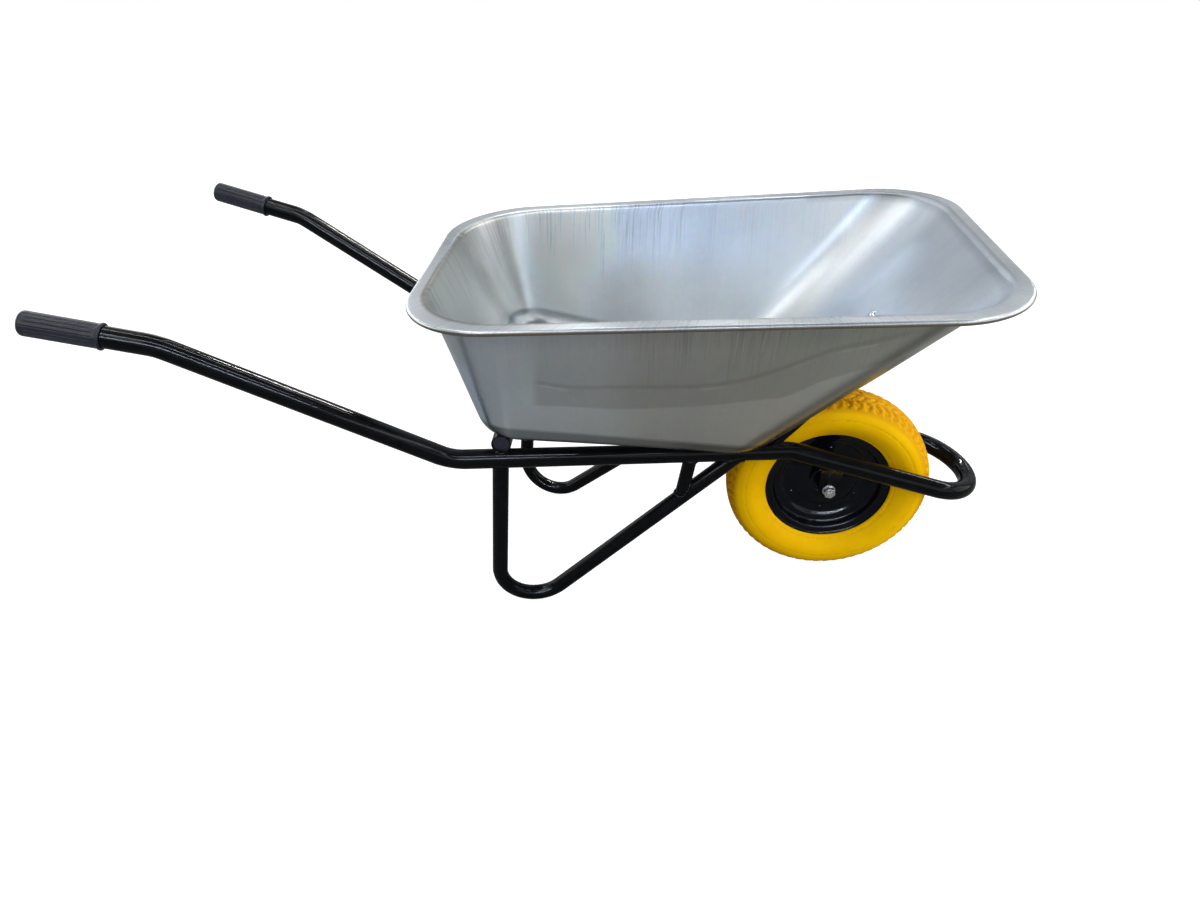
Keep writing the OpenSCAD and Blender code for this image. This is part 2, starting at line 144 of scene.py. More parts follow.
def emit(name, b, material, body="chassis", replaces=(), sharp=35):
    co = np.concatenate(b.v) / 1000.0
    me = bpy.data.meshes.new(name)
    me.from_pydata(co.tolist(), [], b.f)
    for k, parts in b.a.items():
        dim = 3 if parts[0][1].ndim == 2 else 1
        full = np.zeros((b.n, dim))
        for start, a in parts:
            full[start:start + len(a)] = a.reshape(len(a), dim)
        at = me.attributes.new(k, "FLOAT_VECTOR" if dim == 3 else "FLOAT", "POINT")
        at.data.foreach_set("vector" if dim == 3 else "value", full.reshape(-1))
    bm = bmesh.new()
    bm.from_mesh(me)
    bmesh.ops.recalc_face_normals(bm, faces=bm.faces)
    for f in bm.faces:
        f.smooth = True
    bm.to_mesh(me)
    bm.free()
    me.set_sharp_from_angle(angle=math.radians(sharp))
    me.materials.append(material)
    ob = bpy.data.objects.new(name, me)
    bpy.context.scene.collection.objects.link(ob)
    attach(ob, body)
    if replaces:
        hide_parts(*replaces)
    return ob


def mirrored(b):
    m = Build()
    for v in b.v:
        w = v.copy()
        w[:, 1] *= -1
        m.v.append(w)
    m.f = [f[::-1] for f in b.f]
    m.n = b.n
    m.a = b.a
    return m


# ---- tubes ---------------------------------------------------------------------------------------
def at_x(a, b, x):
    return a + (b - a) * ((x - a[0]) / (b[0] - a[0]))


def route(p, r, ds=9.0, db=2.6):
    """Points along the centre line through the corners p with bend radii r: place, direction, direction to the
    bend's centre, how far into a bend (0..1) and length so far."""
    p = [np.asarray(q, float) for q in p]
    n = len(p)

    def turn(i):
        return math.acos(max(-1, min(1, float(unit(p[i] - p[i - 1]) @ unit(p[i + 1] - p[i])))))

    cut = [0 if i in (0, n - 1) else r[i] * math.tan(turn(i) / 2) for i in range(n)]
    P, T, K, W = [], [], [], []
    for i in range(n - 1):
        d = unit(p[i + 1] - p[i])
        a, b = cut[i], np.linalg.norm(p[i + 1] - p[i]) - cut[i + 1]
        m = max(2, int(math.ceil((b - a) / ds)) + 1)
        for s in np.linspace(a, b, m):
            P.append(p[i] + d * s), T.append(d), K.append(np.zeros(3)), W.append(0.0)
        if i < n - 2:
            v = unit(p[i + 2] - p[i + 1])
            w = unit(np.cross(d, v))
            q = unit(np.cross(w, d))
            t = turn(i + 1)
            c = p[i + 1] - d * cut[i + 1] + q * r[i + 1]
            m = max(3, int(math.ceil(r[i + 1] * t / db)))
            for k in range(1, m):
                f = t * k / m
                P.append(c + r[i + 1] * (-q * math.cos(f) + d * math.sin(f)))
                T.append(d * math.cos(f) + q * math.sin(f))
                K.append(q * math.cos(f) - d * math.sin(f))
                W.append(float(smooth(min(f, t - f) * r[i + 1] / 16)))
    P, T, K, W = map(np.array, (P, T, K, W))
    S = np.concatenate([[0], np.cumsum(np.linalg.norm(np.diff(P, axis=0), axis=1))])
    return P, T, K, W, S


def carry(T, first=None):
    """A direction square to T at each point that doesn't twist along the line."""
    n = np.cross(T[0], first if first is not None else (arr(0, 0, 1) if abs(T[0][2]) < 0.9 else arr(1, 0, 0)))
    N = [unit(n)]
    for i in range(1, len(T)):
        n = N[-1] - T[i] * (N[-1] @ T[i])
        N.append(unit(n))
    return np.array(N)


def tube(b, p, r, radius, wall=1.5, seed=1, n=56, open_ends=(False, False), ds=9.0, flatten=0.022, crease=0.2):
    """A bent tube. On a bend it is a little flattened and its inner side has the fine ripples that bending leaves."""
    P, T, K, W, S = route(p, r, ds)
    N = carry(T)
    B = np.cross(T, N)
    th = np.arange(n) * TAU / n
    D = N[:, None, :] * np.cos(th)[None, :, None] + B[:, None, :] * np.sin(th)[None, :, None]
    inward = np.einsum("ijk,ik->ij", D, K)
    rad = radius * (1 - flatten * W[:, None] * inward ** 2) - 0.03
    rad = rad - crease * W[:, None] * np.clip(inward, 0, 1) ** 2 * (0.5 + 0.5 * np.sin(S[:, None] * TAU / 9.5 + 0.6 * wave(seed, S, 40)[:, None]))
    rad = rad - 0.02 * (1 + wave(seed + 3, S[:, None] + 31 * np.cos(th)[None, :], 55))
    V = P[:, None, :] + D * rad[:, :, None]
    rings = [V[i] for i in range(len(P))]

    def end(i, sign):
        if not open_ends[0 if sign < 0 else 1]:
            return [P[i] + D[i] * (rad[i][:, None] - 0.6) + T[i] * sign * 0.6]
        inner = radius - wall
        return [P[i] + D[i] * (rad[i][:, None] - 0.3) + T[i] * sign * 0.3, P[i] + D[i] * (inner + 0.3) + T[i] * sign * 0.3,
                P[i] + D[i] * inner, P[i] + D[i] * inner - T[i] * sign * 30.0]

    a, z = end(0, -1), end(-1, 1)
    rings = a[::-1] + rings + z
    V = np.array(rings)
    m = len(rings)
    V = V.reshape(-1, 3)
    k0, k1 = V[:n].mean(0), V[-n:].mean(0)
    V = np.concatenate([V, [k0, k1]])
    b.add(V, [quads(m, n), fan(np.arange(n)[::-1], m * n), fan(np.arange(n) + (m - 1) * n, m * n + 1)])
    return b


def bead(b, line, radius=3.4, seed=1, closed=True, n=12, pitch=4.3, lump=0.2):
    """A weld bead along a line of points: a fat cord with the scales of a hand weld."""
    line = np.asarray(line, float)
    if closed:
        line = np.concatenate([line, line[:1]])
    S = np.concatenate([[0], np.cumsum(np.linalg.norm(np.diff(line, axis=0), axis=1))])
    m = max(10, int(S[-1] / 0.8))
    s = np.linspace(0, S[-1], m + 1)
    if closed:
        s = s[:-1]
    P = np.stack([np.interp(s, S, line[:, k]) for k in range(3)], 1)
    if closed:
        T = units(np.roll(P, -1, 0) - np.roll(P, 1, 0))
        c = P.mean(0)
        N = units(P - c - T * np.einsum("ij,ij->i", P - c, T)[:, None])
    else:
        T = units(np.gradient(P, axis=0))
        N = carry(T)
    B = np.cross(T, N)
    turns = max(2, round(S[-1] / pitch))
    ph = s / S[-1] * TAU * turns
    saw = 0.5 + 0.5 * np.sin(ph + 0.7 * np.sin(ph))
    size = radius * (1 - lump + lump * saw + 0.16 * wave(seed, s, 17) + 0.08 * wave(seed + 5, s, 5))
    if not closed:
        size = size * np.clip(np.minimum(s, S[-1] - s) / (radius * 0.8) + 0.25, 0.25, 1)
    shift = N * (0.5 * wave(seed + 9, s, 14) * radius * 0.25)[:, None]
    th = np.arange(n) * TAU / n
    V = (P + shift)[:, None, :] + (N[:, None, :] * np.cos(th)[None, :, None] + B[:, None, :] * np.sin(th)[None, :, None]) * size[:, None, None]
    k = len(P)
    if closed:
        b.add(V.reshape(-1, 3), [quads(k, n, True, True)])
    else:
        W = np.concatenate([V.reshape(-1, 3), [P[0] - T[0] * size[0] * 0.5, P[-1] + T[-1] * size[-1] * 0.5]])
        b.add(W, [quads(k, n), fan(np.arange(n)[::-1], k * n), fan(np.arange(n) + (k - 1) * n, k * n + 1)])
    return b


def meet(a, d, ra, c, e, rb, n=72):
    """Where a round bar through a, running off along d, comes out of the round bar through c along e."""
    d, e = unit(d), unit(e)
    N = unit(np.cross(d, e)) if np.linalg.norm(np.cross(d, e)) > 1e-3 else unit(np.cross(d, arr(0, 0, 1)))
    B = np.cross(d, N)
    out = []
    for t in np.arange(n) * TAU / n:
        q = a + ra * (N * math.cos(t) + B * math.sin(t)) - c
        u, v = q - e * (q @ e), d - e * (d @ e)
        A, Bq, C = v @ v, 2 * u @ v, u @ u - rb * rb
        D = Bq * Bq - 4 * A * C
        s = (-Bq + math.sqrt(max(D, 0))) / (2 * A)
        out.append(a + ra * (N * math.cos(t) + B * math.sin(t)) + d * s)
    return np.array(out)


def crossing(c, e, rb, a, d, ra, up, n=64):
    """Outline of the patch where a bar through a along d rests on, and bites a little into, the bar through c along e."""
    up = unit(up)
    h = (a - c) @ up
    x = unit(np.cross(up, arr(0, 1, 0)))
    y = np.cross(up, x)
    e, d = unit(e), unit(d)
    out = []
    for t in np.arange(n) * TAU / n:
        g = x * math.cos(t) + y * math.sin(t)
        lo, hi = 0.0, min(ra, rb) - 0.2
        for _ in range(30):
            m = (lo + hi) / 2
            p = g * m
            s1 = np.linalg.norm(p - e * (p @ e))
            s2 = np.linalg.norm(p - d * (p @ d))
            z1 = math.sqrt(max(rb * rb - s1 * s1, 0))
            z2 = h - math.sqrt(max(ra * ra - s2 * s2, 0))
            if z1 > z2:
                lo = m
            else:
                hi = m
        s1 = np.linalg.norm(g * lo - e * (g * lo @ e))
        out.append(c + g * lo + up * math.sqrt(max(rb * rb - s1 * s1, 0)))
    return np.array(out)


def lathe(b, prof, n=96, closed=True, at=None, axis=None, start=None, rad=None, values=None):
    """Turns the outline prof = [(radius, along)] about an axis. at is where along = 0 lies."""
    prof = np.asarray(prof, float)
    at = arr(0, 0, 0) if at is None else at
    w = unit(axis if axis is not None else arr(0, 0, 1))
    u = unit(np.cross(w, start if start is not None else (arr(1, 0, 0) if abs(w[0]) < 0.9 else arr(0, 0, 1))))
    v = np.cross(w, u)
    th = np.arange(n) * TAU / n
    R = np.repeat(prof[:, 0][:, None], n, 1)
    if rad is not None:
        R = rad(R, prof[:, 1][:, None], th[None, :])
    V = at + R[:, :, None] * (u * np.cos(th)[None, :, None] + v * np.sin(th)[None, :, None]) + w * prof[:, 1][:, None, None]
    m = len(prof)
    if closed:
        b.add(V.reshape(-1, 3), [quads(m, n, True, True)], **(values or {}))
    else:
        W = np.concatenate([V.reshape(-1, 3), [V[0].mean(0), V[-1].mean(0)]])
        b.add(W, [quads(m, n), fan(np.arange(n)[::-1], m * n), fan(np.arange(n) + (m - 1) * n, m * n + 1)])
    return b


def round_line(p, times=2, ends=True):
    """Cuts the corners of an open line, keeping its two ends."""
    p = np.asarray(p, float)
    for _ in range(times):
        q = [p[0]]
        for a, c in zip(p[:-1], p[1:]):
            q += [a * 0.75 + c * 0.25, a * 0.25 + c * 0.75]
        q.append(p[-1])
        p = np.array(q)
    return p


def offset_line(p, t):
    """The line moved t to its left."""
    d = units(np.diff(p, axis=0))
    a = np.concatenate([d[:1], d])
    c = np.concatenate([d, d[-1:]])
    m = units(a + c)
    h = np.einsum("ij,ij->i", a, m)
    return p + np.stack([-m[:, 1], m[:, 0]], 1) * (t / h)[:, None]


def hex_prism(b, at, axis, af, z0, z1, bore, start, n=96, chamfer=0.6, collar=None):
    """A hexagon nut between z0 and z1 along the axis, with chamfered corners and a countersunk bore."""
    rc = af / 2 * 0.97
    th = np.arange(n) * TAU / n
    hx = (af / 2) / np.cos((th % (TAU / 6)) - TAU / 12)
    rows, R = [], []
    drop = (hx - rc) * 0.55

    def row(z, r):
        R.append(np.broadcast_to(r, (n,)))
        rows.append(np.broadcast_to(z, (n,)))
    row(z0 + 0.8, bore)
    row(z0, bore + 0.7)
    row(z0, rc)
    row(z0 + drop, hx)
    row(z1 - drop, hx)
    row(z1, rc)
    row(z1, bore + 0.7)
    row(z1 - 0.8, bore)
    w = unit(axis)
    u = unit(np.cross(w, start))
    v = np.cross(w, u)
    V = np.array([at + r[:, None] * (u * np.cos(th)[:, None] + v * np.sin(th)[:, None]) + w * z[:, None] for r, z in zip(R, rows)])
    b.add(V.reshape(-1, 3), [quads(len(rows), n, True, True)])
    return b


# ---- materials -------------------------------------------------------------------------------------
class Mat:
    def __init__(self, name):
        self.m = bpy.data.materials.new(name)
        self.m.use_nodes = True
        self.t = self.m.node_tree
        self.s = self.t.nodes["Principled BSDF"]
        self._o = None

    def node(self, kind, **props):
        n = self.t.nodes.new(kind)
        for k, v in props.items():
            setattr(n, k, v)
        return n

    def put(self, socket, value):
        if hasattr(value, "is_output") or isinstance(value, bpy.types.NodeSocket):
            self.t.links.new(value, socket)
        else:
            socket.default_value = value

    def obj(self, scale=(1, 1, 1)):
        if self._o is None:
            self._o = self.node("ShaderNodeTexCoord").outputs["Object"]
        if tuple(scale) == (1, 1, 1):
            return self._o
        m = self.node("ShaderNodeMapping")
        m.inputs["Scale"].default_value = scale
        self.t.links.new(self._o, m.inputs["Vector"])
        return m.outputs["Vector"]

    def scaled(self, vec, scale):
        m = self.node("ShaderNodeMapping")
        m.inputs["Scale"].default_value = scale
        self.t.links.new(vec, m.inputs["Vector"])
        return m.outputs["Vector"]

    def attr(self, name, out="Fac"):
        n = self.node("ShaderNodeAttribute", attribute_name=name)
        return n.outputs[out]

    def noise(self, vec, scale, detail=3.0, rough=0.55, warp=0.0):
        n = self.node("ShaderNodeTexNoise")
        self.t.links.new(vec, n.inputs["Vector"])
        n.inputs["Scale"].default_value = scale
        n.inputs["Detail"].default_value = detail
        n.inputs["Roughness"].default_value = rough
        n.inputs["Distortion"].default_value = warp
        return n.outputs["Fac"]

    def cells(self, vec, scale, feature="F1"):
        n = self.node("ShaderNodeTexVoronoi", feature=feature)
        self.t.links.new(vec, n.inputs["Vector"])
        n.inputs["Scale"].default_value = scale
        return n

    def span(self, v, a, b, c=0.0, d=1.0):
        n = self.node("ShaderNodeMapRange")
        n.clamp = True
        self.put(n.inputs["Value"], v)
        n.inputs["From Min"].default_value = a
        n.inputs["From Max"].default_value = b
        n.inputs["To Min"].default_value = c
        n.inputs["To Max"].default_value = d
        return n.outputs["Result"]

    def calc(self, op, a, b=0.0, c=0.0):
        n = self.node("ShaderNodeMath", operation=op)
        self.put(n.inputs[0], a)
        self.put(n.inputs[1], b)
        if len(n.inputs) > 2:
            self.put(n.inputs[2], c)
        return n.outputs[0]

    def mix(self, f, a, b, blend="MIX"):
        n = self.node("ShaderNodeMix", data_type="RGBA", blend_type=blend)
        self.put(n.inputs[0], f)
        for s, v in ((n.inputs[6], a), (n.inputs[7], b)):
            self.put(s, (*v, 1.0) if isinstance(v, tuple) and len(v) == 3 else v)
        return n.outputs[2]

    def bump(self, height, strength, distance, base=None):
        n = self.node("ShaderNodeBump")
        n.inputs["Strength"].default_value = strength
        n.inputs["Distance"].default_value = distance
        self.t.links.new(height, n.inputs["Height"])
        if base is not None:
            self.t.links.new(base, n.inputs["Normal"])
        return n.outputs["Normal"]

    def set(self, **kw):
        names = dict(color="Base Color", rough="Roughness", metal="Metallic", normal="Normal", spec="Specular IOR Level",
                     coat="Coat Weight", coat_rough="Coat Roughness", sss="Subsurface Weight", aniso="Anisotropic")
        for k, v in kw.items():
            s = self.s.inputs[names[k]]
            self.put(s, (*v, 1.0) if k == "color" and isinstance(v, tuple) and len(v) == 3 else v)
        return self.m


def enamel_material(name, base=(0.0009, 0.0010, 0.0012), seed=0.0, gloss=0.11):
    g = Mat(name)
    o = g.obj()
    big, mid, fine = g.noise(o, 9 + seed, 2), g.noise(o, 60, 3), g.noise(o, 260, 2)
    dust = g.span(g.noise(o, 900, 1), 0.70, 0.78)
    dusty = g.calc("MULTIPLY", dust, g.span(big, 0.42, 0.62))
    col = g.mix(g.span(mid, 0.35, 0.7), base, (base[0] * 2.0, base[1] * 1.9, base[2] * 1.8))
    col = g.mix(g.calc("MULTIPLY", dusty, 0.25), col, (0.015, 0.0145, 0.014))
    rough = g.calc("ADD", g.span(big, 0.3, 0.7, 0.08, 0.12), g.span(mid, 0.3, 0.7, 0.0, 0.03))
    rough = g.calc("ADD", rough, g.calc("MULTIPLY", dusty, 0.3))
    nrm = g.bump(fine, 0.008, 0.0004)
    nrm = g.bump(mid, 0.008, 0.002, nrm)
    return g.set(color=col, rough=rough, spec=gloss, normal=nrm)


def zinc_material(name, base=(0.72, 0.73, 0.75), rough=0.26):
    g = Mat(name)
    o = g.obj()
    a, c = g.noise(o, 45, 3), g.noise(o, 700, 2)
    col = g.mix(g.span(a, 0.35, 0.7), base, (base[0] * 0.78, base[1] * 0.79, base[2] * 0.82))
    return g.set(color=col, metal=1.0, rough=g.calc("ADD", g.span(a, 0.3, 0.7, rough - 0.05, rough + 0.12), g.span(c, 0.3, 0.7, 0, 0.05)),
                 normal=g.bump(c, 0.12, 0.0002))


def galvanised_material(name):
    """Galvanised sheet drawn deep: dull streaks run down from the rim, and the die left zones along the long sides."""
    g = Mat(name)
    o = g.obj()
    flow, painted_light = g.attr("flow", "Vector"), g.attr("painted_light", "Vector")
    reach, drawn, side, low, high = g.attr("reach"), g.attr("drawn"), g.attr("side"), g.attr("low"), g.attr("high")
    # noise that is the same all the way up the wall: how far each streak runs, and where streaks gather
    run = g.noise(g.scaled(flow, (1, 1, 0)), 42, 3, 0.65)
    crowd = g.noise(g.scaled(flow, (1, 1, 0.15)), 9, 2, 0.5)
    far = g.calc("ADD", reach, g.calc("MULTIPLY", g.calc("SUBTRACT", run, 0.5), 1.5))
    amount = g.calc("MULTIPLY", drawn, g.span(g.calc("ADD", far, g.calc("MULTIPLY", g.calc("SUBTRACT", crowd, 0.5), 0.8)), 0.62, 0.98))
    streak = g.noise(g.scaled(flow, (1, 1, 0.02)), 400, 3, 0.62)
    broad = g.noise(g.scaled(flow, (1, 1, 0.03)), 120, 3, 0.6)
    hair = g.noise(g.scaled(flow, (1, 1, 0.012)), 900, 2, 0.6)
    soft = g.noise(g.scaled(flow, (1, 1, 0.25)), 11, 2, 0.5)
    blot = g.noise(o, 7, 3, 0.5)
    speck = g.noise(o, 420, 2, 0.6)
    spangle = g.cells(o, 85).outputs["Color"]
    col = g.mix(g.span(blot, 0.3, 0.7), (0.61, 0.655, 0.69), (0.67, 0.705, 0.735))
    col = g.mix(g.calc("MULTIPLY", g.span(soft, 0.45, 0.7), 0.22), col, (0.80, 0.83, 0.86))
    # worn streaks: dark ones in front of bright ones
    col = g.mix(g.calc("MULTIPLY", g.span(hair, 0.54, 0.68), g.calc("MULTIPLY", amount, 0.8)), col, (0.86, 0.89, 0.93))
    col = g.mix(g.calc("MULTIPLY", g.span(streak, 0.50, 0.62), g.calc("MULTIPLY", amount, 0.75)), col, (0.25, 0.27, 0.27))
    col = g.mix(g.calc("MULTIPLY", g.span(broad, 0.47, 0.66), g.calc("MULTIPLY", amount, 0.46)), col, (0.38, 0.405, 0.41))
    col = g.mix(g.calc("MULTIPLY", g.span(streak, 0.45, 0.7), 0.07), col, (0.40, 0.43, 0.44))
    # the die's zones: duller above each arc, with a fine dark line of painted shade for the crease and a bright scuff
    # along the upper one
    above = g.calc("SUBTRACT", reach, low)
    over = g.calc("SUBTRACT", reach, high)
    zone = g.calc("SUBTRACT", g.calc("MULTIPLY", g.span(above, -0.003, 0.014), 0.36), g.calc("MULTIPLY", g.span(over, 0.0, 0.35), 0.12))
    # painted shade of the crease, just above the upper arc
    crease = g.span(g.calc("ABSOLUTE", g.calc("SUBTRACT", over, 0.012)), 0.0, 0.028, 1.0, 0.0)
    mark = g.calc("MULTIPLY", side, g.calc("ADD", zone, g.calc("MULTIPLY", crease, 0.26)))
    col = g.mix(mark, col, (0.27, 0.28, 0.275))
    scuff = g.span(g.calc("ABSOLUTE", g.calc("ADD", over, 0.018)), 0.0, 0.012, 1.0, 0.0)
    scuff = g.calc("MULTIPLY", g.calc("MULTIPLY", scuff, side), g.span(g.noise(g.scaled(flow, (1, 1, 0)), 22, 2), 0.48, 0.6, 0.0, 0.3))
    col = g.mix(scuff, col, (0.85, 0.86, 0.86))
    col = g.mix(0.03, col, spangle)
    col = g.mix(g.calc("MULTIPLY", g.span(speck, 0.55, 0.75), 0.14), col, (0.42, 0.44, 0.45))
    # painted light, shade and reflections, set per point of the tray, multiply the colour here
    col = g.mix(1.0, col, painted_light, "MULTIPLY")
    rough = g.calc("ADD", g.span(blot, 0.3, 0.7, 0.27, 0.35), g.calc("MULTIPLY", g.span(streak, 0.4, 0.7), g.calc("MULTIPLY", amount, 0.12)))
    rough = g.calc("ADD", rough, g.calc("MULTIPLY", mark, 0.08))
    nrm = g.bump(streak, 0.035, 0.0005)
    nrm = g.bump(soft, 0.16, 0.004, nrm)
    nrm = g.bump(g.noise(o, 5.5, 2, 0.5), 0.3, 0.006, nrm)
    nrm = g.bump(speck, 0.04, 0.0003, nrm)
    return g.set(color=col, metal=1.0, rough=rough, normal=nrm)


def foam_material(name):
    g = Mat(name)
    o = g.obj()
    cut, tread, patch = g.attr("cut"), g.attr("tread"), g.attr("patch")
    a, c, d = g.noise(o, 14, 4, 0.6), g.noise(o, 120, 3, 0.6), g.noise(o, 1500, 2)
    col = g.mix(g.span(a, 0.3, 0.7), (0.93, 0.50, 0.0004), (0.99, 0.58, 0.0006))
    col = g.mix(g.calc("MULTIPLY", tread, 0.75), col, (0.62, 0.285, 0.0003))
    soil = g.calc("MULTIPLY", g.span(c, 0.42, 0.62), g.calc("ADD", g.calc("MULTIPLY", cut, 0.75), g.calc("MULTIPLY", patch, 0.9)))
    soil = g.calc("MINIMUM", g.calc("MULTIPLY", soil, g.span(a, 0.25, 0.6, 0.45, 1.0)), 0.9)
    col = g.mix(g.calc("MULTIPLY", soil, 0.85), col, (0.42, 0.15, 0.002))
    col = g.mix(g.calc("MULTIPLY", g.span(g.noise(o, 34, 3, 0.6), 0.6, 0.75), 0.12), col, (0.45, 0.22, 0.01))
    rough = g.calc("ADD", g.span(a, 0.3, 0.7, 0.46, 0.56), g.calc("MULTIPLY", soil, 0.25))
    nrm = g.bump(d, 0.10, 0.0004)
    nrm = g.bump(c, 0.06, 0.001, nrm)
    return g.set(color=col, rough=rough, normal=nrm, spec=0.05)


def plastic_material(name):
    g = Mat(name)
    o = g.obj()
    a, c = g.noise(o, 30, 3), g.noise(o, 1100, 2)
    col = g.mix(g.span(a, 0.3, 0.7), (0.010, 0.013, 0.024), (0.017, 0.021, 0.036))
    return g.set(color=col, rough=g.span(a, 0.3, 0.7, 0.30, 0.40), normal=g.bump(c, 0.12, 0.0004), spec=0.5)


def rubber_material(name):
    g = Mat(name)
    o = g.obj()
    a, c = g.noise(o, 60, 3), g.noise(o, 1800, 2)
    return g.set(color=g.mix(g.span(a, 0.3, 0.7), (0.012, 0.012, 0.013), (0.03, 0.03, 0.03)),
                 rough=g.span(a, 0.3, 0.7, 0.5, 0.65), normal=g.bump(c, 0.1, 0.0003))


ENAMEL = enamel_material("frame enamel")
RIM_ENAMEL = enamel_material("rim enamel", (0.0004, 0.0005, 0.0008), 4.0, 0.17)
GALV = galvanised_material("galvanised sheet")
ZINC = zinc_material("zinc plate")
BRIGHT = zinc_material("bright zinc", (0.80, 0.81, 0.82), 0.13)
STEEL = zinc_material("ground steel", (0.60, 0.60, 0.61), 0.2)
FOAM = foam_material("tyre foam")
PLASTIC = plastic_material("grip plastic")
SEAL = rubber_material("seal rubber")

# ---- the skeleton, as in the CAD model ---------------------------------------------------------------
FR, LR = 16.5, 14.0
grip_a = arr(AX - 1236, 312.5, 616)
bend_1 = arr(AX - 1062, 292.4, 576)
bend_2 = arr(AX - 667, 224.4, 351.4)
bend_3 = arr(AX - 92, 83, 304)
hoop_c = arr(AX + 259, 83, 213)
grip_dir = unit(bend_1 - grip_a)
half = [grip_a + grip_dir * 6, bend_1, bend_2, bend_3, hoop_c]
MIR = arr(1, -1, 1)
frame_p = [q * MIR for q in half] + half[::-1]
frame_r = [0, 110, 110, 90, 82, 82, 90, 110, 110, 0]
bar_c, bar_e = bend_2, bend_3 - bend_2

leg_top = arr(AX - 592, 190, 346)
leg_front = arr(AX - 188, 109, 306.5)
FOOT = 67.0


def leg_pts(z):
    return [leg_top, arr(AX - 619, 180.5, z), leg_front]


def foot_low(z):
    p = leg_pts(z)
    u, v = unit(p[1] - p[0]), unit(p[2] - p[1])
    w = unit(np.cross(u, v))
    q = unit(np.cross(w, u))
    t = math.acos(float(u @ v))
    c = p[1] - u * FOOT * math.tan(t / 2) + q * FOOT
    return c[2] - FOOT * math.sqrt(1 - w[2] ** 2) - (LR - 0.05)


z = -77.0
for _ in range(3):
    z -= foot_low(z)
leg_corner = arr(AX - 619, 180.5, z)

strut_a = at_x(bend_2, bend_3, AX - 270)
strut_b = at_x(leg_corner, leg_front, AX - 283)

RISE = -61 / 408


def under_floor(x):
    return 394 + RISE * (x - AX + 598)


floor_n = unit(arr(-RISE, 0, 1))
cross_x = AX - 586.5
cross_z = under_floor(cross_x) - FR / floor_n[2] - 0.02
SHEET = 1.0
floor_up = SHEET / floor_n[2]
FL = 28.0
slope_low = arr(AX - 136, 0, under_floor(AX - 136) + floor_up)
slope_top = arr(AX + 191 - FL, 0, 602 + 68 * (922 - FL) / 922)
slope_u = unit(slope_top - slope_low)
slope_n = arr(-slope_u[2], 0, slope_u[0])


def on_slope(x):
    return at_x(slope_low, slope_top, x) - slope_n * SHEET


plate_x = AX - 190
stay_x = AX + 33
stay_off = -slope_n * 11.0
stay_c = on_slope(stay_x - 16) + stay_off
stay_a = on_slope(AX - 118) + stay_off - slope_u * 36

# ---- frame pieces -------------------------------------------------------------------------------------
b = Build()
tube(b, frame_p, frame_r, FR, seed=2, n=64, open_ends=(True, True))
emit("frame_tube_bent", b, ENAMEL, replaces=["frame_tube"])

b = Build()
tube(b, [leg_top, leg_corner, leg_front], [0, FOOT, 0], LR, seed=11, n=56, flatten=0.03, crease=0.28)
emit("leg_left_bent", b, ENAMEL, replaces=["leg_left"])
emit("leg_right_bent", mirrored(b), ENAMEL, replaces=["leg_right"])

b = Build()
tube(b, [arr(cross_x, -211, cross_z), arr(cross_x, 211, cross_z)], [0, 0], FR, seed=17, n=64, open_ends=(True, True), ds=14)
emit("rear_crossbar_tube", b, ENAMEL, replaces=["rear_crossbar"])

b = Build()
su = unit(strut_a - strut_b)
tube(b, [strut_b + su * 2, strut_a - su * 2], [0, 0], 12.0, seed=23, n=48)
emit("strut_left_tube", b, ENAMEL, replaces=["strut_left"])
emit("strut_right_tube", mirrored(b), ENAMEL, replaces=["strut_right"])

b = Build()
tube(b, [stay_a * MIR + arr(0, -182 + 91 + 91, 0) - arr(0, 91, 0), stay_c + arr(0, -70, 0), stay_c + arr(0, 70, 0), stay_a + arr(0, 91, 0)],
     [0, 32, 32, 0], 8.0, seed=29, n=40)
emit("front_stay_tube", b, ENAMEL, replaces=["front_stay"])


def plate(b, o, x, y, z, xs, ys, t, bevel=0.7, corner=4.0):
    """A flat plate from o, spanning xs along x and ys along y, t thick down -z, with rounded corners and eased edges."""
    x, y, z = unit(x), unit(y), unit(z)
    pts = []
    for cx, cy, a0 in ((xs[1] - corner, ys[1] - corner, 0), (xs[0] + corner, ys[1] - corner, 90), (xs[0] + corner, ys[0] + corner, 180), (xs[1] - corner, ys[0] + corner, 270)):
        for k in range(7):
            a = math.radians(a0 + 15 * k)
            pts.append((cx, cy, math.cos(a), math.sin(a)))
    rows = []
    for h, inset in ((0, bevel), (-bevel * 0.3, bevel * 0.3), (-bevel, 0), (-t + bevel, 0), (-t + bevel * 0.3, bevel * 0.3), (-t, bevel)):
        rows.append([o + x * (px + (corner - inset) * ca) + y * (py + (corner - inset) * sa) + z * h for px, py, ca, sa in pts])
    V = np.array(rows)
    n = len(pts)
    W = np.concatenate([V.reshape(-1, 3), [V[0].mean(0), V[-1].mean(0)]])
    b.add(W, [quads(len(rows), n), fan(np.arange(n)[::-1], len(rows) * n), fan(np.arange(n) + (len(rows) - 1) * n, len(rows) * n + 1)])
    return b


b = Build()
fu = unit(arr(1, 0, RISE))
plate(b, arr(plate_x, 0, under_floor(plate_x)) - floor_n * 0.04, fu, arr(0, 1, 0), floor_n, (-15, 15), (-112.6, 112.6), 4.9)
emit("front_cross_strip", b, ENAMEL, replaces=["front_cross_plate"])
b = Build()
plate(b, on_slope(stay_x) - slope_n * 0.04, slope_u, arr(0, 1, 0), slope_n, (-26, 14), (-45, 45), 2.9, 0.5, 6)
emit("front_stay_pad", b, ENAMEL, replaces=["front_stay_plate"])

# The axle bracket: a strip that drops from the frame tube, bends in and comes down beside the hub
b = Build()
inner = round_line([(37, AZ - 30), (37, AZ + 34), (71, AZ + 83)], 3)
outer = offset_line(inner, -4.0)


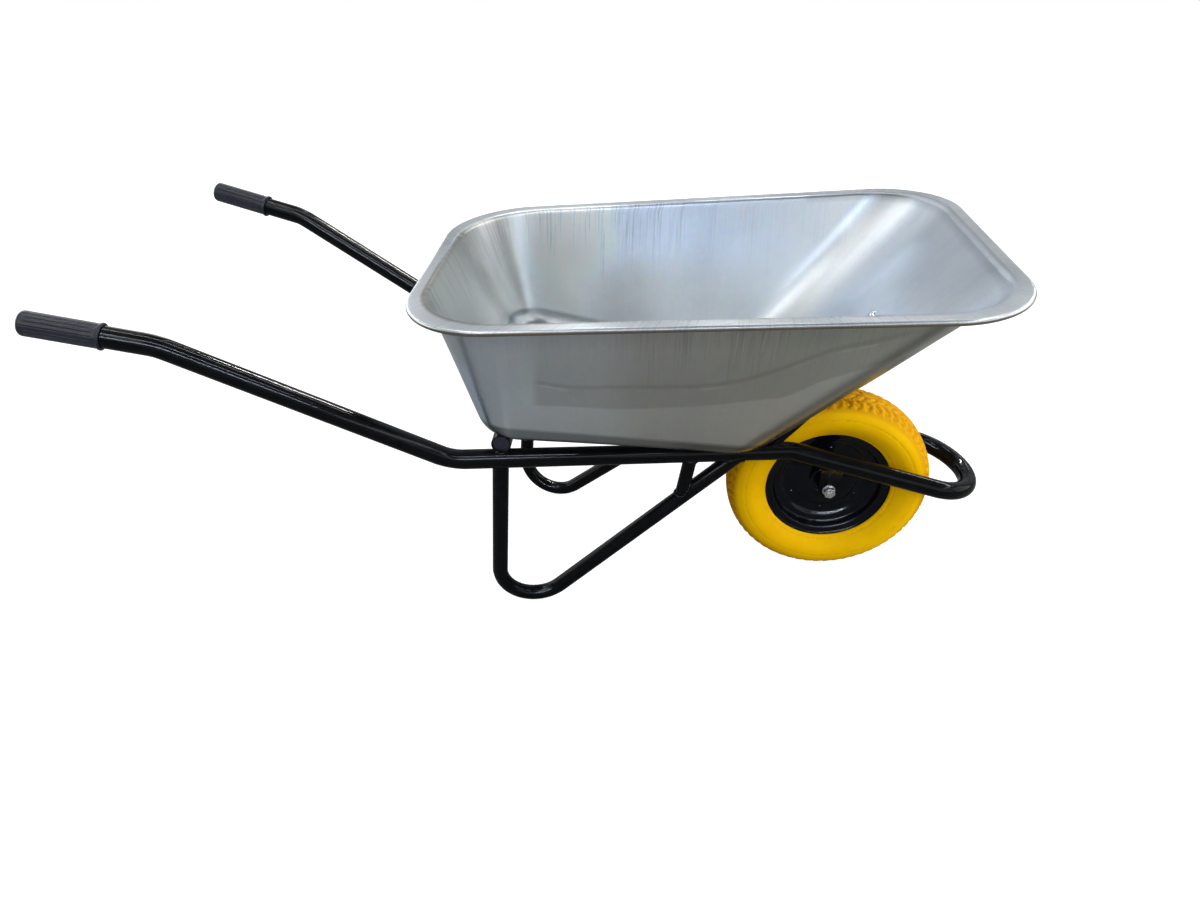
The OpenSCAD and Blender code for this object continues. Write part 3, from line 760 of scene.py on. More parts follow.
def bracket_span(z):
    d = z - AZ
    if d < -3.8:
        h = math.sqrt(max(18 ** 2 - d * d, 0))
        return -h, h
    f = (d + 3.8) / 93.8
    return -17.6 + (-27 + 17.6) * f, 17.6 + (19 - 17.6) * f


zs = np.concatenate([AZ - 18 * np.cos(np.linspace(0.0, math.pi / 2 - 0.2, 14)), np.linspace(AZ - 1, AZ + 82, 40)])


def along(line, z):
    k = np.searchsorted(line[:, 1], z)
    k = min(max(k, 1), len(line) - 1)
    f = (z - line[k - 1, 1]) / (line[k, 1] - line[k - 1, 1])
    return line[k - 1, 0] + (line[k, 0] - line[k - 1, 0]) * f


rows = []
for zz in zs:
    lo, hi = bracket_span(zz)
    y = along(inner, min(zz, AZ + 82))
    k = min(max(np.searchsorted(inner[:, 1], zz), 1), len(inner) - 1)
    t = unit(inner[k] - inner[k - 1])
    nrm = arr(0, t[1], -t[0])
    e = min(0.8, (hi - lo) / 3)
    sec = []
    for xx, dd in ((lo, 0.8), (lo + e * 0.3, 0.24), (lo + e, 0), (lo * 0.5 + hi * 0.5, 0), (hi - e, 0), (hi - e * 0.3, 0.24), (hi, 0.8),
                   (hi, 3.2), (hi - e * 0.3, 3.76), (hi - e, 4), (lo * 0.5 + hi * 0.5, 4), (lo + e, 4), (lo + e * 0.3, 3.76), (lo, 3.2)):
        sec.append(arr(AX + xx, y, zz) + nrm * dd)
    rows.append(sec)
V = np.array(rows)
m, n = V.shape[:2]
W = np.concatenate([V.reshape(-1, 3), [V[0].mean(0), V[-1].mean(0)]])
b.add(W, [quads(m, n), fan(np.arange(n)[::-1], m * n), fan(np.arange(n) + (m - 1) * n, m * n + 1)])
lathe(b, [(0.05, 43.6), (1.2, 43.5), (2.4, 43.0), (3.2, 42.0), (3.6, 41.0), (3.6, 40.6)], 24, False, arr(AX, 0, AZ + 31), arr(0, 1, 0))
emit("axle_bracket_left_strip", b, ENAMEL, replaces=["axle_bracket_left"])
emit("axle_bracket_right_strip", mirrored(b), ENAMEL, replaces=["axle_bracket_right"])

# Weld beads, all black like the tubes, on one side and then mirrored
b = Build()
bead(b, crossing(at_x(bend_2, bend_3, cross_x), bar_e, FR, arr(cross_x, at_x(bend_2, bend_3, cross_x)[1], cross_z), arr(0, 1, 0), FR,
                 arr(0, 0, 1)), 4.6, 41, lump=0.34)
bead(b, meet(leg_top, leg_corner - leg_top, LR, bar_c, bar_e, FR), 3.0, 42)
bead(b, meet(leg_front, leg_corner - leg_front, LR, bar_c, bar_e, FR), 2.6, 43)
bead(b, meet(strut_a, strut_b - strut_a, 12.0, bar_c, bar_e, FR), 2.8, 44)
bead(b, meet(strut_b, strut_a - strut_b, 12.0, leg_corner, leg_front - leg_corner, LR), 3.2, 45, lump=0.28)
bead(b, meet(stay_a + arr(0, 91, 0), stay_c + arr(0, 70, 0) - stay_a - arr(0, 91, 0), 8.0, bar_c, bar_e, FR), 2.4, 46)
hb, he = bend_3, unit(hoop_c - bend_3)
for side, seed in ((0, 47), (1, 48)):
    line = []
    for xx in np.linspace(-25.5, 17.5, 24):
        q = at_x(bend_3, hoop_c, AX + xx)
        ang = math.radians(-141 if side else -100)
        line.append(q + arr(0, math.cos(ang), math.sin(ang)) * (FR - 0.2))
    bead(b, line, 2.6, seed, closed=False)
for s, seed in ((-15, 51), (15, 52)):
    q = arr(plate_x, 0, under_floor(plate_x)) + fu * s
    bead(b, [q + arr(0, y, -3.5) for y in np.linspace(96, 109, 14)], 2.3, seed, closed=False)
for s, seed in ((-26, 53), (14, 54)):
    q = on_slope(stay_x) + slope_u * s - slope_n * 3.6
    bead(b, [q + arr(0, y, 0) for y in np.linspace(8, 34, 24)], 2.0, seed, closed=False)
m2 = mirrored(b)
for v in m2.v:
    pass
both = Build()
both.v = b.v + m2.v
both.f = b.f + [[i + b.n for i in f] for f in m2.f]
both.n = b.n * 2
emit("weld_beads", both, ENAMEL, sharp=70)

# ---- grips ----------------------------------------------------------------------------------------------
GR, GL = 18.5, 109.0
b = Build()
prof = [(16.55, GL - 6), (16.55, GL - 0.6), (17.0, GL - 0.1), (19.0, GL - 0.1), (19.8, GL - 0.4), (20.2, GL - 1.1), (20.2, GL - 3.0), (19.8, GL - 3.8), (19.0, GL - 4.3)]
prof += [(GR + 0.1, GL - 4.9), (GR, GL - 6.0), (GR - 0.02, GL - 8.0), (GR - 0.02, GL - 10.0)]
prof += [(GR, x) for x in np.linspace(GL - 12, 6, 44)]
prof += [(GR - 6 + 6 * math.cos(a), 6 - 6 * math.sin(a)) for a in np.linspace(0.1, math.pi / 2, 10)]
prof += [(8, 0.0), (7.4, 0.25), (6.8, 0.7), (3, 0.9), (0.4, 0.9)]
FL_N = 18


def ribs(R, zz, th):
    on = smooth((zz - 7) / 5) * smooth((GL - 9 - zz) / 4) * (R > 17)
    w = smooth((0.5 - np.abs((th / TAU * FL_N) % 1.0 - 0.5)) / 0.13)
    crown = 0.10 * (2 * np.abs((th / TAU * FL_N) % 1.0 - 0.5)) ** 2
    return R - on * (0.85 * (1 - w) + crown) - 0.02


lathe(b, prof, 288, False, grip_a, grip_dir, start=arr(0, 0, 1), rad=ribs)
emit("grip_left_sleeve", b, PLASTIC, replaces=["grip_left"], sharp=50)
emit("grip_right_sleeve", mirrored(b), PLASTIC, replaces=["grip_right"], sharp=50)

# ---- tray -------------------------------------------------------------------------------------------------
ARC, SIDE = 26, (40, 16, 40, 16)


def corner_arc(a, m, c, r):
    u, v = unit(a - m), unit(c - m)
    g = math.acos(float(u @ v))
    p, q = m + u * (r / math.tan(g / 2)), m + v * (r / math.tan(g / 2))
    o = m + unit(u + v) * (r / math.sin(g / 2))
    s, e = math.atan2(*(p - o)[::-1]), math.atan2(*(q - o)[::-1])
    d = (e - s + 3 * math.pi) % TAU - math.pi
    return [o + r * arr(math.cos(s + d * k / ARC), math.sin(s + d * k / ARC)) for k in range(ARC + 1)]


def outline(xr, wr, xf, wf, rr, rf):
    c = [arr(xr, -wr), arr(xf, -wf), arr(xf, wf), arr(xr, wr)]
    r = [rr, rf, rf, rr]
    arcs = [corner_arc(c[(i + 3) % 4], c[i], c[(i + 1) % 4], r[i]) for i in range(4)]
    out = []
    for i in range(4):
        out += arcs[i]
        out += [arcs[i][-1] + (arcs[(i + 1) % 4][0] - arcs[i][-1]) * k / SIDE[i] for k in range(1, SIDE[i])]
    return np.array(out)


def rim_z(x):
    return 602 + 68 * (x - AX + 731) / 922


rim_o = outline(AX - 731, 281.5, AX + 191, 303, 145, 135)
wall_o = outline(AX - 731 + FL, 281.5 - FL, AX + 191 - FL, 303 - FL, 140, 120)
floor_o = outline(AX - 617, 235, AX - 136, 150, 46, 108)
NS = len(rim_o)
BEAD = 4.6
rim_up = -unit(arr(68, 0, -922))
rim_up = rim_up if rim_up[2] > 0 else -rim_up
rim_up = unit(arr(-68, 0, 922))
fm = AX - 376
F3 = np.stack([floor_o[:, 0], floor_o[:, 1], under_floor(floor_o[:, 0]) + floor_up], 1)
W3 = np.stack([wall_o[:, 0], wall_o[:, 1], rim_z(wall_o[:, 0])], 1)
O3 = np.stack([rim_o[:, 0], rim_o[:, 1], rim_z(rim_o[:, 0])], 1)
dW, gO = units(W3 - F3), units(O3 - W3)
hF = units(np.stack([fm - F3[:, 0], -F3[:, 1], RISE * (fm - F3[:, 0])], 1))
tF = (26 + 9 * (F3[:, 0] - AX + 617) / 481)[:, None]
E3 = O3 - gO * BEAD - rim_up * BEAD


def bez(a, m, c, s):
    return a * (1 - s) ** 2 + m * 2 * s * (1 - s) + c * s * s


rows, kind = [], []
centre = F3.mean(0)
a0 = F3 + hF * tF
for s in (0.12, 0.3, 0.5, 0.7, 0.86):
    rows.append(a0 * s + a0.mean(0) * (1 - s)), kind.append(("floor", s))
for s in np.linspace(0, 1, 15):
    rows.append(bez(a0, F3, F3 + dW * tF, s)), kind.append(("fillet", s))
for s in np.linspace(0, 1, 30)[1:-1]:
    rows.append(F3 + dW * tF + (W3 - F3 - dW * (tF + 7)) * s), kind.append(("wall", s))
for s in np.linspace(0, 1, 9):
    rows.append(bez(W3 - dW * 7, W3, W3 + gO * 7, s)), kind.append(("lip", s))
for s in np.linspace(0, 1, 5)[1:-1]:
    rows.append((W3 + gO * 7) * (1 - s) + (O3 - gO * BEAD) * s), kind.append(("flange", s))
for a in np.radians(np.linspace(90, -180, 28)):
    rows.append(E3 + (gO * math.cos(a) + rim_up * math.sin(a)) * BEAD), kind.append(("roll", a))
S = np.array(rows)
NJ = len(rows)
# lengths up the wall and round the tray, for the streaks
up_len = np.concatenate([np.zeros((1, NS)), np.cumsum(np.linalg.norm(np.diff(S, axis=0), axis=2), axis=0)])
per = np.linalg.norm(np.roll(rim_o, -1, 0) - rim_o, axis=1)
round_len = np.concatenate([[0], np.cumsum(per)[:-1]])
LOOP = per.sum()
ang = round_len / LOOP * TAU
RAD = LOOP / TAU
# normals
dj = np.gradient(S, axis=0)
dk = np.roll(S, -1, 1) - np.roll(S, 1, 1)
nrm = units(np.cross(dj, dk))
mid = [i for i, k in enumerate(kind) if k[0] == "floor"]
if (nrm[mid[2], :, 2]).mean() < 0:
    nrm = -nrm
for i in mid:
    nrm[i] = floor_n
names = [k[0] for k in kind]
s_of = np.array([k[1] for k in kind])
is_wall = np.array([k == "wall" for k in names])
# the drawn sheet is never quite true: shallow waves on the walls, and a slight belly on the long sides
amp = np.zeros(NJ)
for i, (k, s) in enumerate(kind):
    amp[i] = {"floor": 0.5 * (1 - s), "fillet": 0.0, "wall": math.sin(math.pi * s), "lip": 0, "flange": 0, "roll": 0}[k]
swell = amp[:, None] * (0.45 * wave(71, round_len, 260)[None, :] + 0.3 * np.sin(up_len / 47.0 + 3 * ang[None, :]))
S = S + nrm * swell[:, :, None]
# fine wrinkles where the corners were drawn in, under the lip
corner_w = np.zeros(NS)
k = 0
for i in range(4):
    t = np.linspace(0, 1, ARC + 1)
    corner_w[k:k + ARC + 1] = np.sin(math.pi * t)
    k += ARC + SIDE[i]
wr = np.array([smooth((s - 0.55) / 0.4) * (1 - smooth((s - 0.93) / 0.07)) if kk == "wall" else 0.0 for kk, s in kind])
S = S + nrm * (0.16 * wr[:, None] * corner_w[None, :] * np.sin(round_len * TAU / 17.0 + wave(73, round_len, 90))[None, :])[:, :, None]

BACK = S - nrm * SHEET
# the streaks stand upright on the sides and the rear wall: there they follow the rim straight above
H = ARC // 2
k0, k1, k2, k3 = H, ARC + SIDE[0] + H, 2 * ARC + SIDE[0] + SIDE[1] + H, 3 * ARC + SIDE[0] + SIDE[1] + SIDE[2] + H
ruled = np.repeat(round_len[None], NJ, 0)
right_p = np.interp(S[:, :, 0], rim_o[k0:k1, 0], round_len[k0:k1])
left_p = np.interp(-S[:, :, 0], -rim_o[k2:k3, 0], round_len[k2:k3])
rear_k = np.concatenate([np.arange(k3, NS), np.arange(0, k0)])
rear_p = np.interp(-S[:, :, 1], -rim_o[rear_k, 1], np.concatenate([round_len[k3:], round_len[:k0] + LOOP]))
flat = units(nrm[:, :, :2])
w_side = smooth((np.abs(flat[:, :, 1]) - 0.70) / 0.22)
w_rear = smooth((np.abs(flat[:, :, 0]) - 0.70) / 0.22) * (S[:, :, 0] < AX - 450)
w_side, w_rear = w_side * is_wall[:, None], w_rear * is_wall[:, None]
want = np.where(S[:, :, 1] < 0, right_p, left_p)
delta = (want - ruled + LOOP / 2) % LOOP - LOOP / 2
delta_r = (rear_p - ruled + LOOP / 2) % LOOP - LOOP / 2
shift = w_side * delta + w_rear * delta_r
first, last = np.flatnonzero(is_wall)[0], np.flatnonzero(is_wall)[-1]
shift[last + 1:] = shift[last]
shift[:first] = shift[first]
fa = (ruled + shift) / RAD
flow = np.stack([RAD * np.cos(fa), RAD * np.sin(fa), up_len], -1) / 1000.0
DIE = np.array([(-640, 0.27, 0.49), (-523, 0.27, 0.49), (-472, 0.27, 0.45), (-398, 0.27, 0.46), (-346, 0.29, 0.47), (-271, 0.33, 0.49), (-187, 0.39, 0.58),
                (-141, 0.43, 0.67), (-98, 0.54, 0.76), (-29, 0.66, 0.84), (60, 0.82, 0.95)])
wall_s = np.array([s if k == "wall" else (0 if k in ("floor", "fillet") else 1) for k, s in kind])
xr = S[:, :, 0] - AX
yr = S[:, :, 1]


def curve(x, px, py):
    """A smooth curve through the points."""
    m = np.gradient(py, px)
    k = np.clip(np.searchsorted(px, x) - 1, 0, len(px) - 2)
    h = px[k + 1] - px[k]
    t = np.clip((x - px[k]) / h, 0, 1)
    return (py[k] * (2 * t ** 3 - 3 * t ** 2 + 1) + m[k] * h * (t ** 3 - 2 * t ** 2 + t)
            + py[k + 1] * (-2 * t ** 3 + 3 * t ** 2) + m[k + 1] * h * (t ** 3 - t ** 2))


low = curve(xr, DIE[:, 0], DIE[:, 1])
high = curve(xr, DIE[:, 0], DIE[:, 2])
ws = wall_s[:, None] * np.ones((NJ, NS))
is_w = (is_wall | np.array([k == "lip" for k in names]))[:, None]
flg = np.array([k in ("flange", "roll") for k in names])[:, None]
on_side = smooth((np.abs(yr) - 150) / 60) * smooth((xr + 530) / 12) * (0.10 + 0.90 * (1 - smooth((xr + 60) / 170)))
side_out = on_side * is_w
rear = smooth((-xr - 560) / 60)
slope = smooth((np.abs(flat[:, :, 0]) - 0.6) / 0.3) * (xr > -140)
# how strongly the sheet is streaked, inside and outside
ahead = smooth((xr + 200) / 120)
drawn_in = np.where(is_w, (0.60 - 0.30 * smooth((xr + 420) / 260)) * (1 - 0.75 * ahead), 0.05)
drawn_in = np.where(is_w, np.maximum(drawn_in, 0.66 * rear), drawn_in)
drawn_out = np.where(is_w, 0.10 + 0.62 * np.exp(-((xr + 225) / 150) ** 2), 0.06)
drawn_in = np.where(flg, 0.22, drawn_in) * np.ones((NJ, NS))
drawn_out = np.where(flg, 0.2, drawn_out) * np.ones((NJ, NS))
reach_in = np.clip(ws + 0.10 * rear * is_w, 0, 1)
# painted reflections and shade: bluer high on the left wall, greener and darker at the rear, warmer towards the front
# outside
blue = is_w * (yr > 0) * smooth((ws - 0.35) / 0.4) * np.exp(-((xr + 350) / 215) ** 2)
green = np.maximum(rear, 0) * is_w
# painted light and shade that follow the way the sheet faces (phi), mostly in the corners at the rear and on the front
# slope
phi = np.degrees(np.arctan2(np.abs(flat[:, :, 1]), flat[:, :, 0]))
behind = np.where(phi < 70, 1 - smooth((xr + 490) / 60), 1 - smooth((xr + 520) / 150))
lip_row = np.array([k == "lip" for k in names])[:, None] * 1.0
fil_row = np.array([k == "fillet" for k in names])[:, None] * 1.0
to_left = smooth((yr + 50) / 200)
c0 = curve(phi, arr(-20, 0, 18, 60, 75, 92, 200), arr(1.44, 1.44, 1.42, 1.28, 1.40, 1.46, 1.46))
c1 = curve(phi, arr(-20, 0, 18, 60, 75, 92, 200), arr(-0.95, -0.95, -0.90, -0.45, 0.10, 0.06, 0.06))
tone = np.minimum(c0 + c1 * ws + (0.42 + 0.12 * ws) * np.exp(-((phi - 40) / 12) ** 2), 1.56)
tone = 0.60 + (tone - 0.60) * to_left
# painted shade in the fillet at the foot of the rear corners
foot = fil_row * np.exp(-((phi - 55) / 42) ** 2)
tone = 1 + (tone - 1) * behind * is_w
tone = tone * (1 - 0.22 * foot * behind * (1 - smooth((phi - 60) / 30)))
# painted shade on the left wall towards the front (dim), a painted highlight band high along its front corner (band),
# and painted light on the right wall at the front (near_front)
dim = 0.17 * smooth((xr + 330) / 110) * (1 - smooth((phi - 94) / 8)) * smooth(ws / 0.3) * (phi > 60) + 0.13 * np.exp(-((phi - 121) / 9) ** 2)
band = 0.12 * np.exp(-((phi - 99) / 6) ** 2) * smooth((ws - 0.45) / 0.4) * smooth((xr + 330) / 110)
near_front = 0.40 * smooth((-yr - 110) / 90) * smooth((xr + 60) / 60) * is_w
# the painted light of the inside: these tints and shades multiplied together, with a painted bluish highlight high on
# the left wall, and painted shade on the front slope and on the lip at the front
painted_light_in = 1 + blue[..., None] * arr(0.10, 0.18, 0.36) - (green * (1 - 0.5 * to_left))[..., None] * arr(0.12, 0.14, 0.22)
painted_light_in = painted_light_in * tone[..., None] * (1 + (to_left * behind * (phi < 60) * is_w)[..., None] * arr(0.05, 0.0, -0.05))
painted_light_in = painted_light_in * (1 - dim * (yr > 0) * is_w)[..., None] * (1 + near_front)[..., None] * (1 + (band * (yr > 0) * is_w)[..., None] * arr(0.9, 1.0, 1.25)) * (1 + (np.exp(-((phi - 104) / 7) ** 2) * smooth((ws - 0.72) / 0.16) * (yr > 0) * is_w)[..., None] * arr(0.34, 0.38, 0.46))
painted_light_in = painted_light_in * (1 - 0.05 * smooth((xr + 230) / 60) * smooth((phi - 92) / 14) * smooth((yr + 220) / 120) * is_w)[..., None] * (1 - slope[..., None] * is_w[..., None] * arr(0.10, 0.06, 0.0)) * (1 - 0.25 * lip_row * (xr > -60))[..., None]
# painted reflections on the outside, warmer towards the front and cooler at the rear; painted shade in the middle, on
# the corners that turn away, on the fillets and high on the wall; painted light low on the walls, bluish at the rear
# corner
warm = smooth((xr + 560) / 620) * np.ones((NJ, NS))
cold = 1 - smooth((xr + 640) / 200)
painted_light_out = 1 + warm[..., None] * arr(0.03, 0.02, -0.09) + cold[..., None] * arr(-0.02, 0.02, 0.08)
middle = smooth((xr + 430) / 90) * (1 - 0.5 * smooth((xr + 150) / 60))
turned = np.exp(-((phi - 106) / 9.5) ** 2) * (phi < 130)
painted_light_out = painted_light_out * (1 + 0.24 * np.exp(-((phi - 28) / 9) ** 2) * np.exp(-((ws - 0.5) / 0.2) ** 2) * is_w)[..., None] * (1 - middle[..., None] * arr(0.07, 0.12, 0.15)) * 1.03 * (1 - 0.14 * smooth((ws - 0.74) / 0.2) * is_w)[..., None]
painted_light_out = painted_light_out * (1 - 0.50 * turned)[..., None] * (1 - 0.42 * fil_row)[..., None] * (1 - 0.5 * fil_row * np.exp(-((phi - 72) / 11) ** 2))[..., None]
painted_light_out = painted_light_out * (1 - 0.35 * fil_row * smooth((xr + 330) / 60))[..., None]
painted_light_out = painted_light_out * (1 + (0.22 * smooth((phi - 80) / 8) * (phi < 101) * smooth((xr + 610) / 60) * (1 - ws / 0.85) * (ws < 0.85) * is_w)[..., None] * arr(1, 1.05, 1.0))
painted_light_out = painted_light_out * (1 + (np.exp(-((phi - 52) / 9) ** 2) * (1 - smooth((ws - 0.45) / 0.25)) * is_w)[..., None] * arr(0.14, 0.22, 0.32))
# painted shade on the underside of the rolled edge
under = smooth((0.62 - nrm[:, :, 2]) / 0.6) * np.array([k == "roll" for k in names])[:, None]
# painted bluish light high on the left wall near the rear
cool = behind * smooth((phi - 66) / 8) * smooth((ws - 0.3) / 0.3) * is_w * (yr > 0)
painted_light_in = np.minimum(painted_light_in * (1 + cool[..., None] * arr(0.04, 0.10, 0.22)), 1.56)
# painted shade on the floor and fillet at the rear, towards the left
low_rear = np.where(is_w | flg, 0.0, 1 - smooth((xr + 470) / 130)) * smooth((yr + 60) / 120)
painted_light_in = painted_light_in * (1 - 0.20 * low_rear)[..., None]
painted_light_in = np.where(flg[..., None], 1 - under[..., None] * arr(0.55, 0.63, 0.70), painted_light_in) * np.ones((NJ, NS, 1))
# painted shade low on the outside where the corners turn away
painted_light_out = painted_light_out * (1 - 0.42 * smooth((phi - 112) / 8) * (1 - smooth((ws - 0.5) / 0.3)) * (is_w | (fil_row > 0)))[..., None]
painted_light_out = np.where(flg[..., None], 1.0, painted_light_out) * np.ones((NJ, NS, 1))

b = Build()
V = np.concatenate([S.reshape(-1, 3), BACK.reshape(-1, 3), [S[0].mean(0), BACK[0].mean(0)]])
top = quads(NJ, NS)
bot = top + NJ * NS
ring0 = np.arange(NS)
edge_a = np.arange(NS) + (NJ - 1) * NS
edge_b = edge_a + NJ * NS
lip = np.stack([edge_a, np.roll(edge_a, -1), np.roll(edge_b, -1), edge_b], -1)
T0 = np.array([[0, 0, 0]])


def two(a, c):
    """Values of the inner and the outer face, then of the two middle points."""
    if a.ndim == 3:
        return np.concatenate([a.reshape(-1, 3), c.reshape(-1, 3), a[0].mean(0)[None], c[0].mean(0)[None]])
    return np.concatenate([a.reshape(-1), c.reshape(-1), [a[0].mean(), c[0].mean()]])


vals = dict(flow=two(flow, flow), painted_light=two(painted_light_in, painted_light_out), reach=two(reach_in, ws), drawn=two(drawn_in, drawn_out),
            side=two(0.0 * ws, side_out), low=two(low, low), high=two(high, high))
b.add(V, [top, bot[:, ::-1], fan(ring0, 2 * NJ * NS), fan(ring0[::-1] + NJ * NS, 2 * NJ * NS + 1), lip], **vals)
emit("tray_pressing", b, GALV, replaces=["tray"], sharp=60)

b = Build()
th = np.arange(14) * TAU / 14
V = E3[:, None, :] + (gO[:, None, :] * np.cos(th)[None, :, None] + rim_up * np.sin(th)[None, :, None]) * 2.8
b.add(V.reshape(-1, 3), [quads(NS, 14, True, True)])
emit("tray_edge_wire", b, STEEL, replaces=["tray_rim_wire"])

# ---- tray fasteners ------------------------------------------------------------------------------------------
bolts = []
for s in (-1, 1):
    bolts += [(arr(cross_x + 2, s * 120, under_floor(cross_x + 2)), floor_n, 2 * FR + 0.6),
              (arr(plate_x, s * 70, under_floor(plate_x)), floor_n, 5.0),
              (on_slope(stay_x) + arr(0, s * 30, 0), slope_n, 3.0)]
bb, bw, bn = Build(), Build(), Build()
for i, (o, n_, grip) in enumerate(bolts):
    z0 = SHEET + 0.02
    dep = grip + SHEET + 1.6 + 6.5 + 4
    dome = [(14 * math.sin(a), z0 + 4.2 - 14 + 14 * math.cos(a)) for a in np.linspace(0.03, math.asin(9.3 / 14), 12)]
    sh = [(3.95 - (0.38 if k % 2 else 0), z0 - 2 - k * 0.6) for k in range(int((dep - 3) / 0.6))]
    prof = dome + [(9.6, z0 + 0.5), (9.55, z0 + 0.12), (9.3, z0), (4.0, z0)] + sh + [(3.0, z0 - dep + 0.1), (0.3, z0 - dep + 0.05)]
    lathe(bb, prof, 40, False, o, n_)
    q = z0 - SHEET - grip
    lathe(bw, [(4.2, -grip), (8.2, -grip), (8.5, -grip - 0.3), (8.5, -grip - 1.3), (8.2, -grip - 1.6), (4.2, -grip - 1.6)], 40, True, o, n_)
    hex_prism(bn, o, n_, 13, -grip - 1.6 - 6.5, -grip - 1.6, 4.0, arr(0, 1, 0) if i % 2 else arr(0.5, 0.8, 0.2), 72)
emit("tray_bolts_domed", bb, BRIGHT, replaces=["tray_bolts"], sharp=30)
emit("tray_washers_flat", bw, ZINC, replaces=["tray_washers"], sharp=30)
emit("tray_nuts_hex", bn, ZINC, replaces=["tray_nuts"], sharp=25)

# ---- axle ------------------------------------------------------------------------------------------------------
Y = arr(0, 1, 0)
axle = arr(AX, 0, AZ)
out_y = 41.0
b = Build()
y0, y1 = -out_y - 2.5 - 13.5, out_y + 2.5
prof = [(0.3, y0), (4.6, y0), (5.4, y0 + 0.8)]
ys = np.arange(y0 + 1.2, y0 + 26, 0.29)
prof += [(5.97, v) for v in ys] + [(5.97, y0 + 26.5), (5.97, y1)]
nthr = len(ys)


def thread(R, zz, th):
    t = np.abs(((zz - y0) / 1.75 + th / TAU) % 1.0 - 0.5) * 2
    return R - 0.55 * (1 - t) * ((zz > y0 + 1.0) & (zz < y0 + 26.2) & (R > 5.5))


lathe(b, prof, 48, False, axle, Y, rad=thread)
hex_prism(b, axle, Y, 19, out_y + 2.5, out_y + 2.5 + 7.5, 0.4, arr(0, 0, 1))
emit("axle_bolt_threaded", b, ZINC, replaces=["axle_bolt"], sharp=28)
b = Build()
hex_prism(b, axle, Y, 19, -out_y - 2.5 - 10, -out_y - 2.5, 6.0, arr(0.2, 0, 1))
emit("axle_nut_hex", b, ZINC, replaces=["axle_nut"], sharp=25)
b = Build()
for s in (-out_y - 2.5, out_y):
    lathe(b, [(6.15, s), (11.6, s), (12, s + 0.4), (12, s + 2.1), (11.6, s + 2.5), (6.15, s + 2.5)], 64, True, axle, Y)
emit("axle_washers_flat", b, ZINC, replaces=["axle_washers"], sharp=30)

# ---- rim -------------------------------------------------------------------------------------------------------
RIM = [[115.4, 29.5], [115, 27.2], [112.6, 25.6], [106, 25], [102.6, 23.6], [101, 21], [100, 14], [98.4, 10.4], [95, 8.4], [88.5, 7.6],
       [85, 6], [82, 3.4], [78.5, 1.6], [62, 1.6], [57, 4.6], [34, 4.6], [28, 1.6], [24, 1.6], [21.4, 3.2], [20.7, 6], [20.7, 14]]
face = round_line(RIM, 3)
back = offset_line(face, 1.6)
sec = np.concatenate([face, back[::-1]])
for side, name in ((1, "left"), (-1, "right")):
    b = Build()
    lathe(b, sec, 192, True, axle, Y * side)
    emit(f"rim_{name}_pressing", b, RIM_ENAMEL, "wheel", replaces=[f"rim_{name}"], sharp=55)

# ---- tyre ------------------------------------------------------------------------------------------------------
TR, TW = 190.0, 47.0
carcass = np.array([(190, 0), (190, 3), (189.9, 8), (189.3, 14), (188.4, 19), (187.3, 24), (185.2, 30), (181.4, 36), (176.5, 40.2), (169, 43.9), (161, 46.3), (153, 47),
                    (145, 46.4), (137, 43.6), (129, 39.2), (122, 34.4), (118.4, 31.6), (117.6, 30.4)])
line = round_line(carcass, 2)
d = np.concatenate([[0], np.cumsum(np.linalg.norm(np.diff(line, axis=0), axis=1))])
t_edge = d[np.argmin(np.abs(line[:, 0] - 178))]
ss = np.concatenate([np.arange(0, t_edge + 3, 1.05), np.linspace(t_edge + 3, d[-1], 36)[1:]])
half_line = np.stack([np.interp(ss, d, line[:, 0]), np.interp(ss, d, line[:, 1])], 1)
seat = offset_line(face, 1.8)
seat = seat[: int(len(seat) * 0.40)]
seat = seat[seat[:, 1] > 6.2]
h = np.concatenate([half_line, seat[::5], [[93, 6.2], [93, 0]]])
full = np.concatenate([h, (h[1:-1] * arr(1, -1))[::-1]])
NB = 62
NT = NB * 8


def tread_cut(y, th):
    """How deep the tread is cut, 0..1, at distance y from the middle and turn th."""
    a = np.abs(y)
    ph = th / TAU * NB
    sd = np.where(y > 0, 0.5, 0.0)

    def line_at(p, w):
        q = np.abs((p % 1.0) - 0.5)
        return 1 - smooth((q - w) / 0.13)

    ring = 1 - smooth((np.abs(a - 4.3) - 0.9) / 1.0)
    ring2 = 1 - smooth((np.abs(a - 20.0) - 0.5) / 1.1)
    row1 = line_at(ph + sd + 0.9 * (a - 4) / 16, 0.06) * ((a > 4) & (a < 20))
    row2 = line_at(ph + sd + 0.45 - 0.5 * (a - 20) / 12, 0.08) * ((a >= 20) & (a < 33))
    row3 = line_at(ph + sd + 0.1 + 0.15 * (a - 33) / 8, 0.12) * ((a >= 33) & (a < 40.5)) * (1 - smooth((a - 37.5) / 3))
    notch = line_at(2 * (ph + sd) + 0.2, 0.04) * ((a > 26) & (a < 36)) * 0.5
    return np.maximum.reduce([ring * 0.9, ring2 * 0.75, row1, row2 * 0.9, row3 * 0.8, notch])


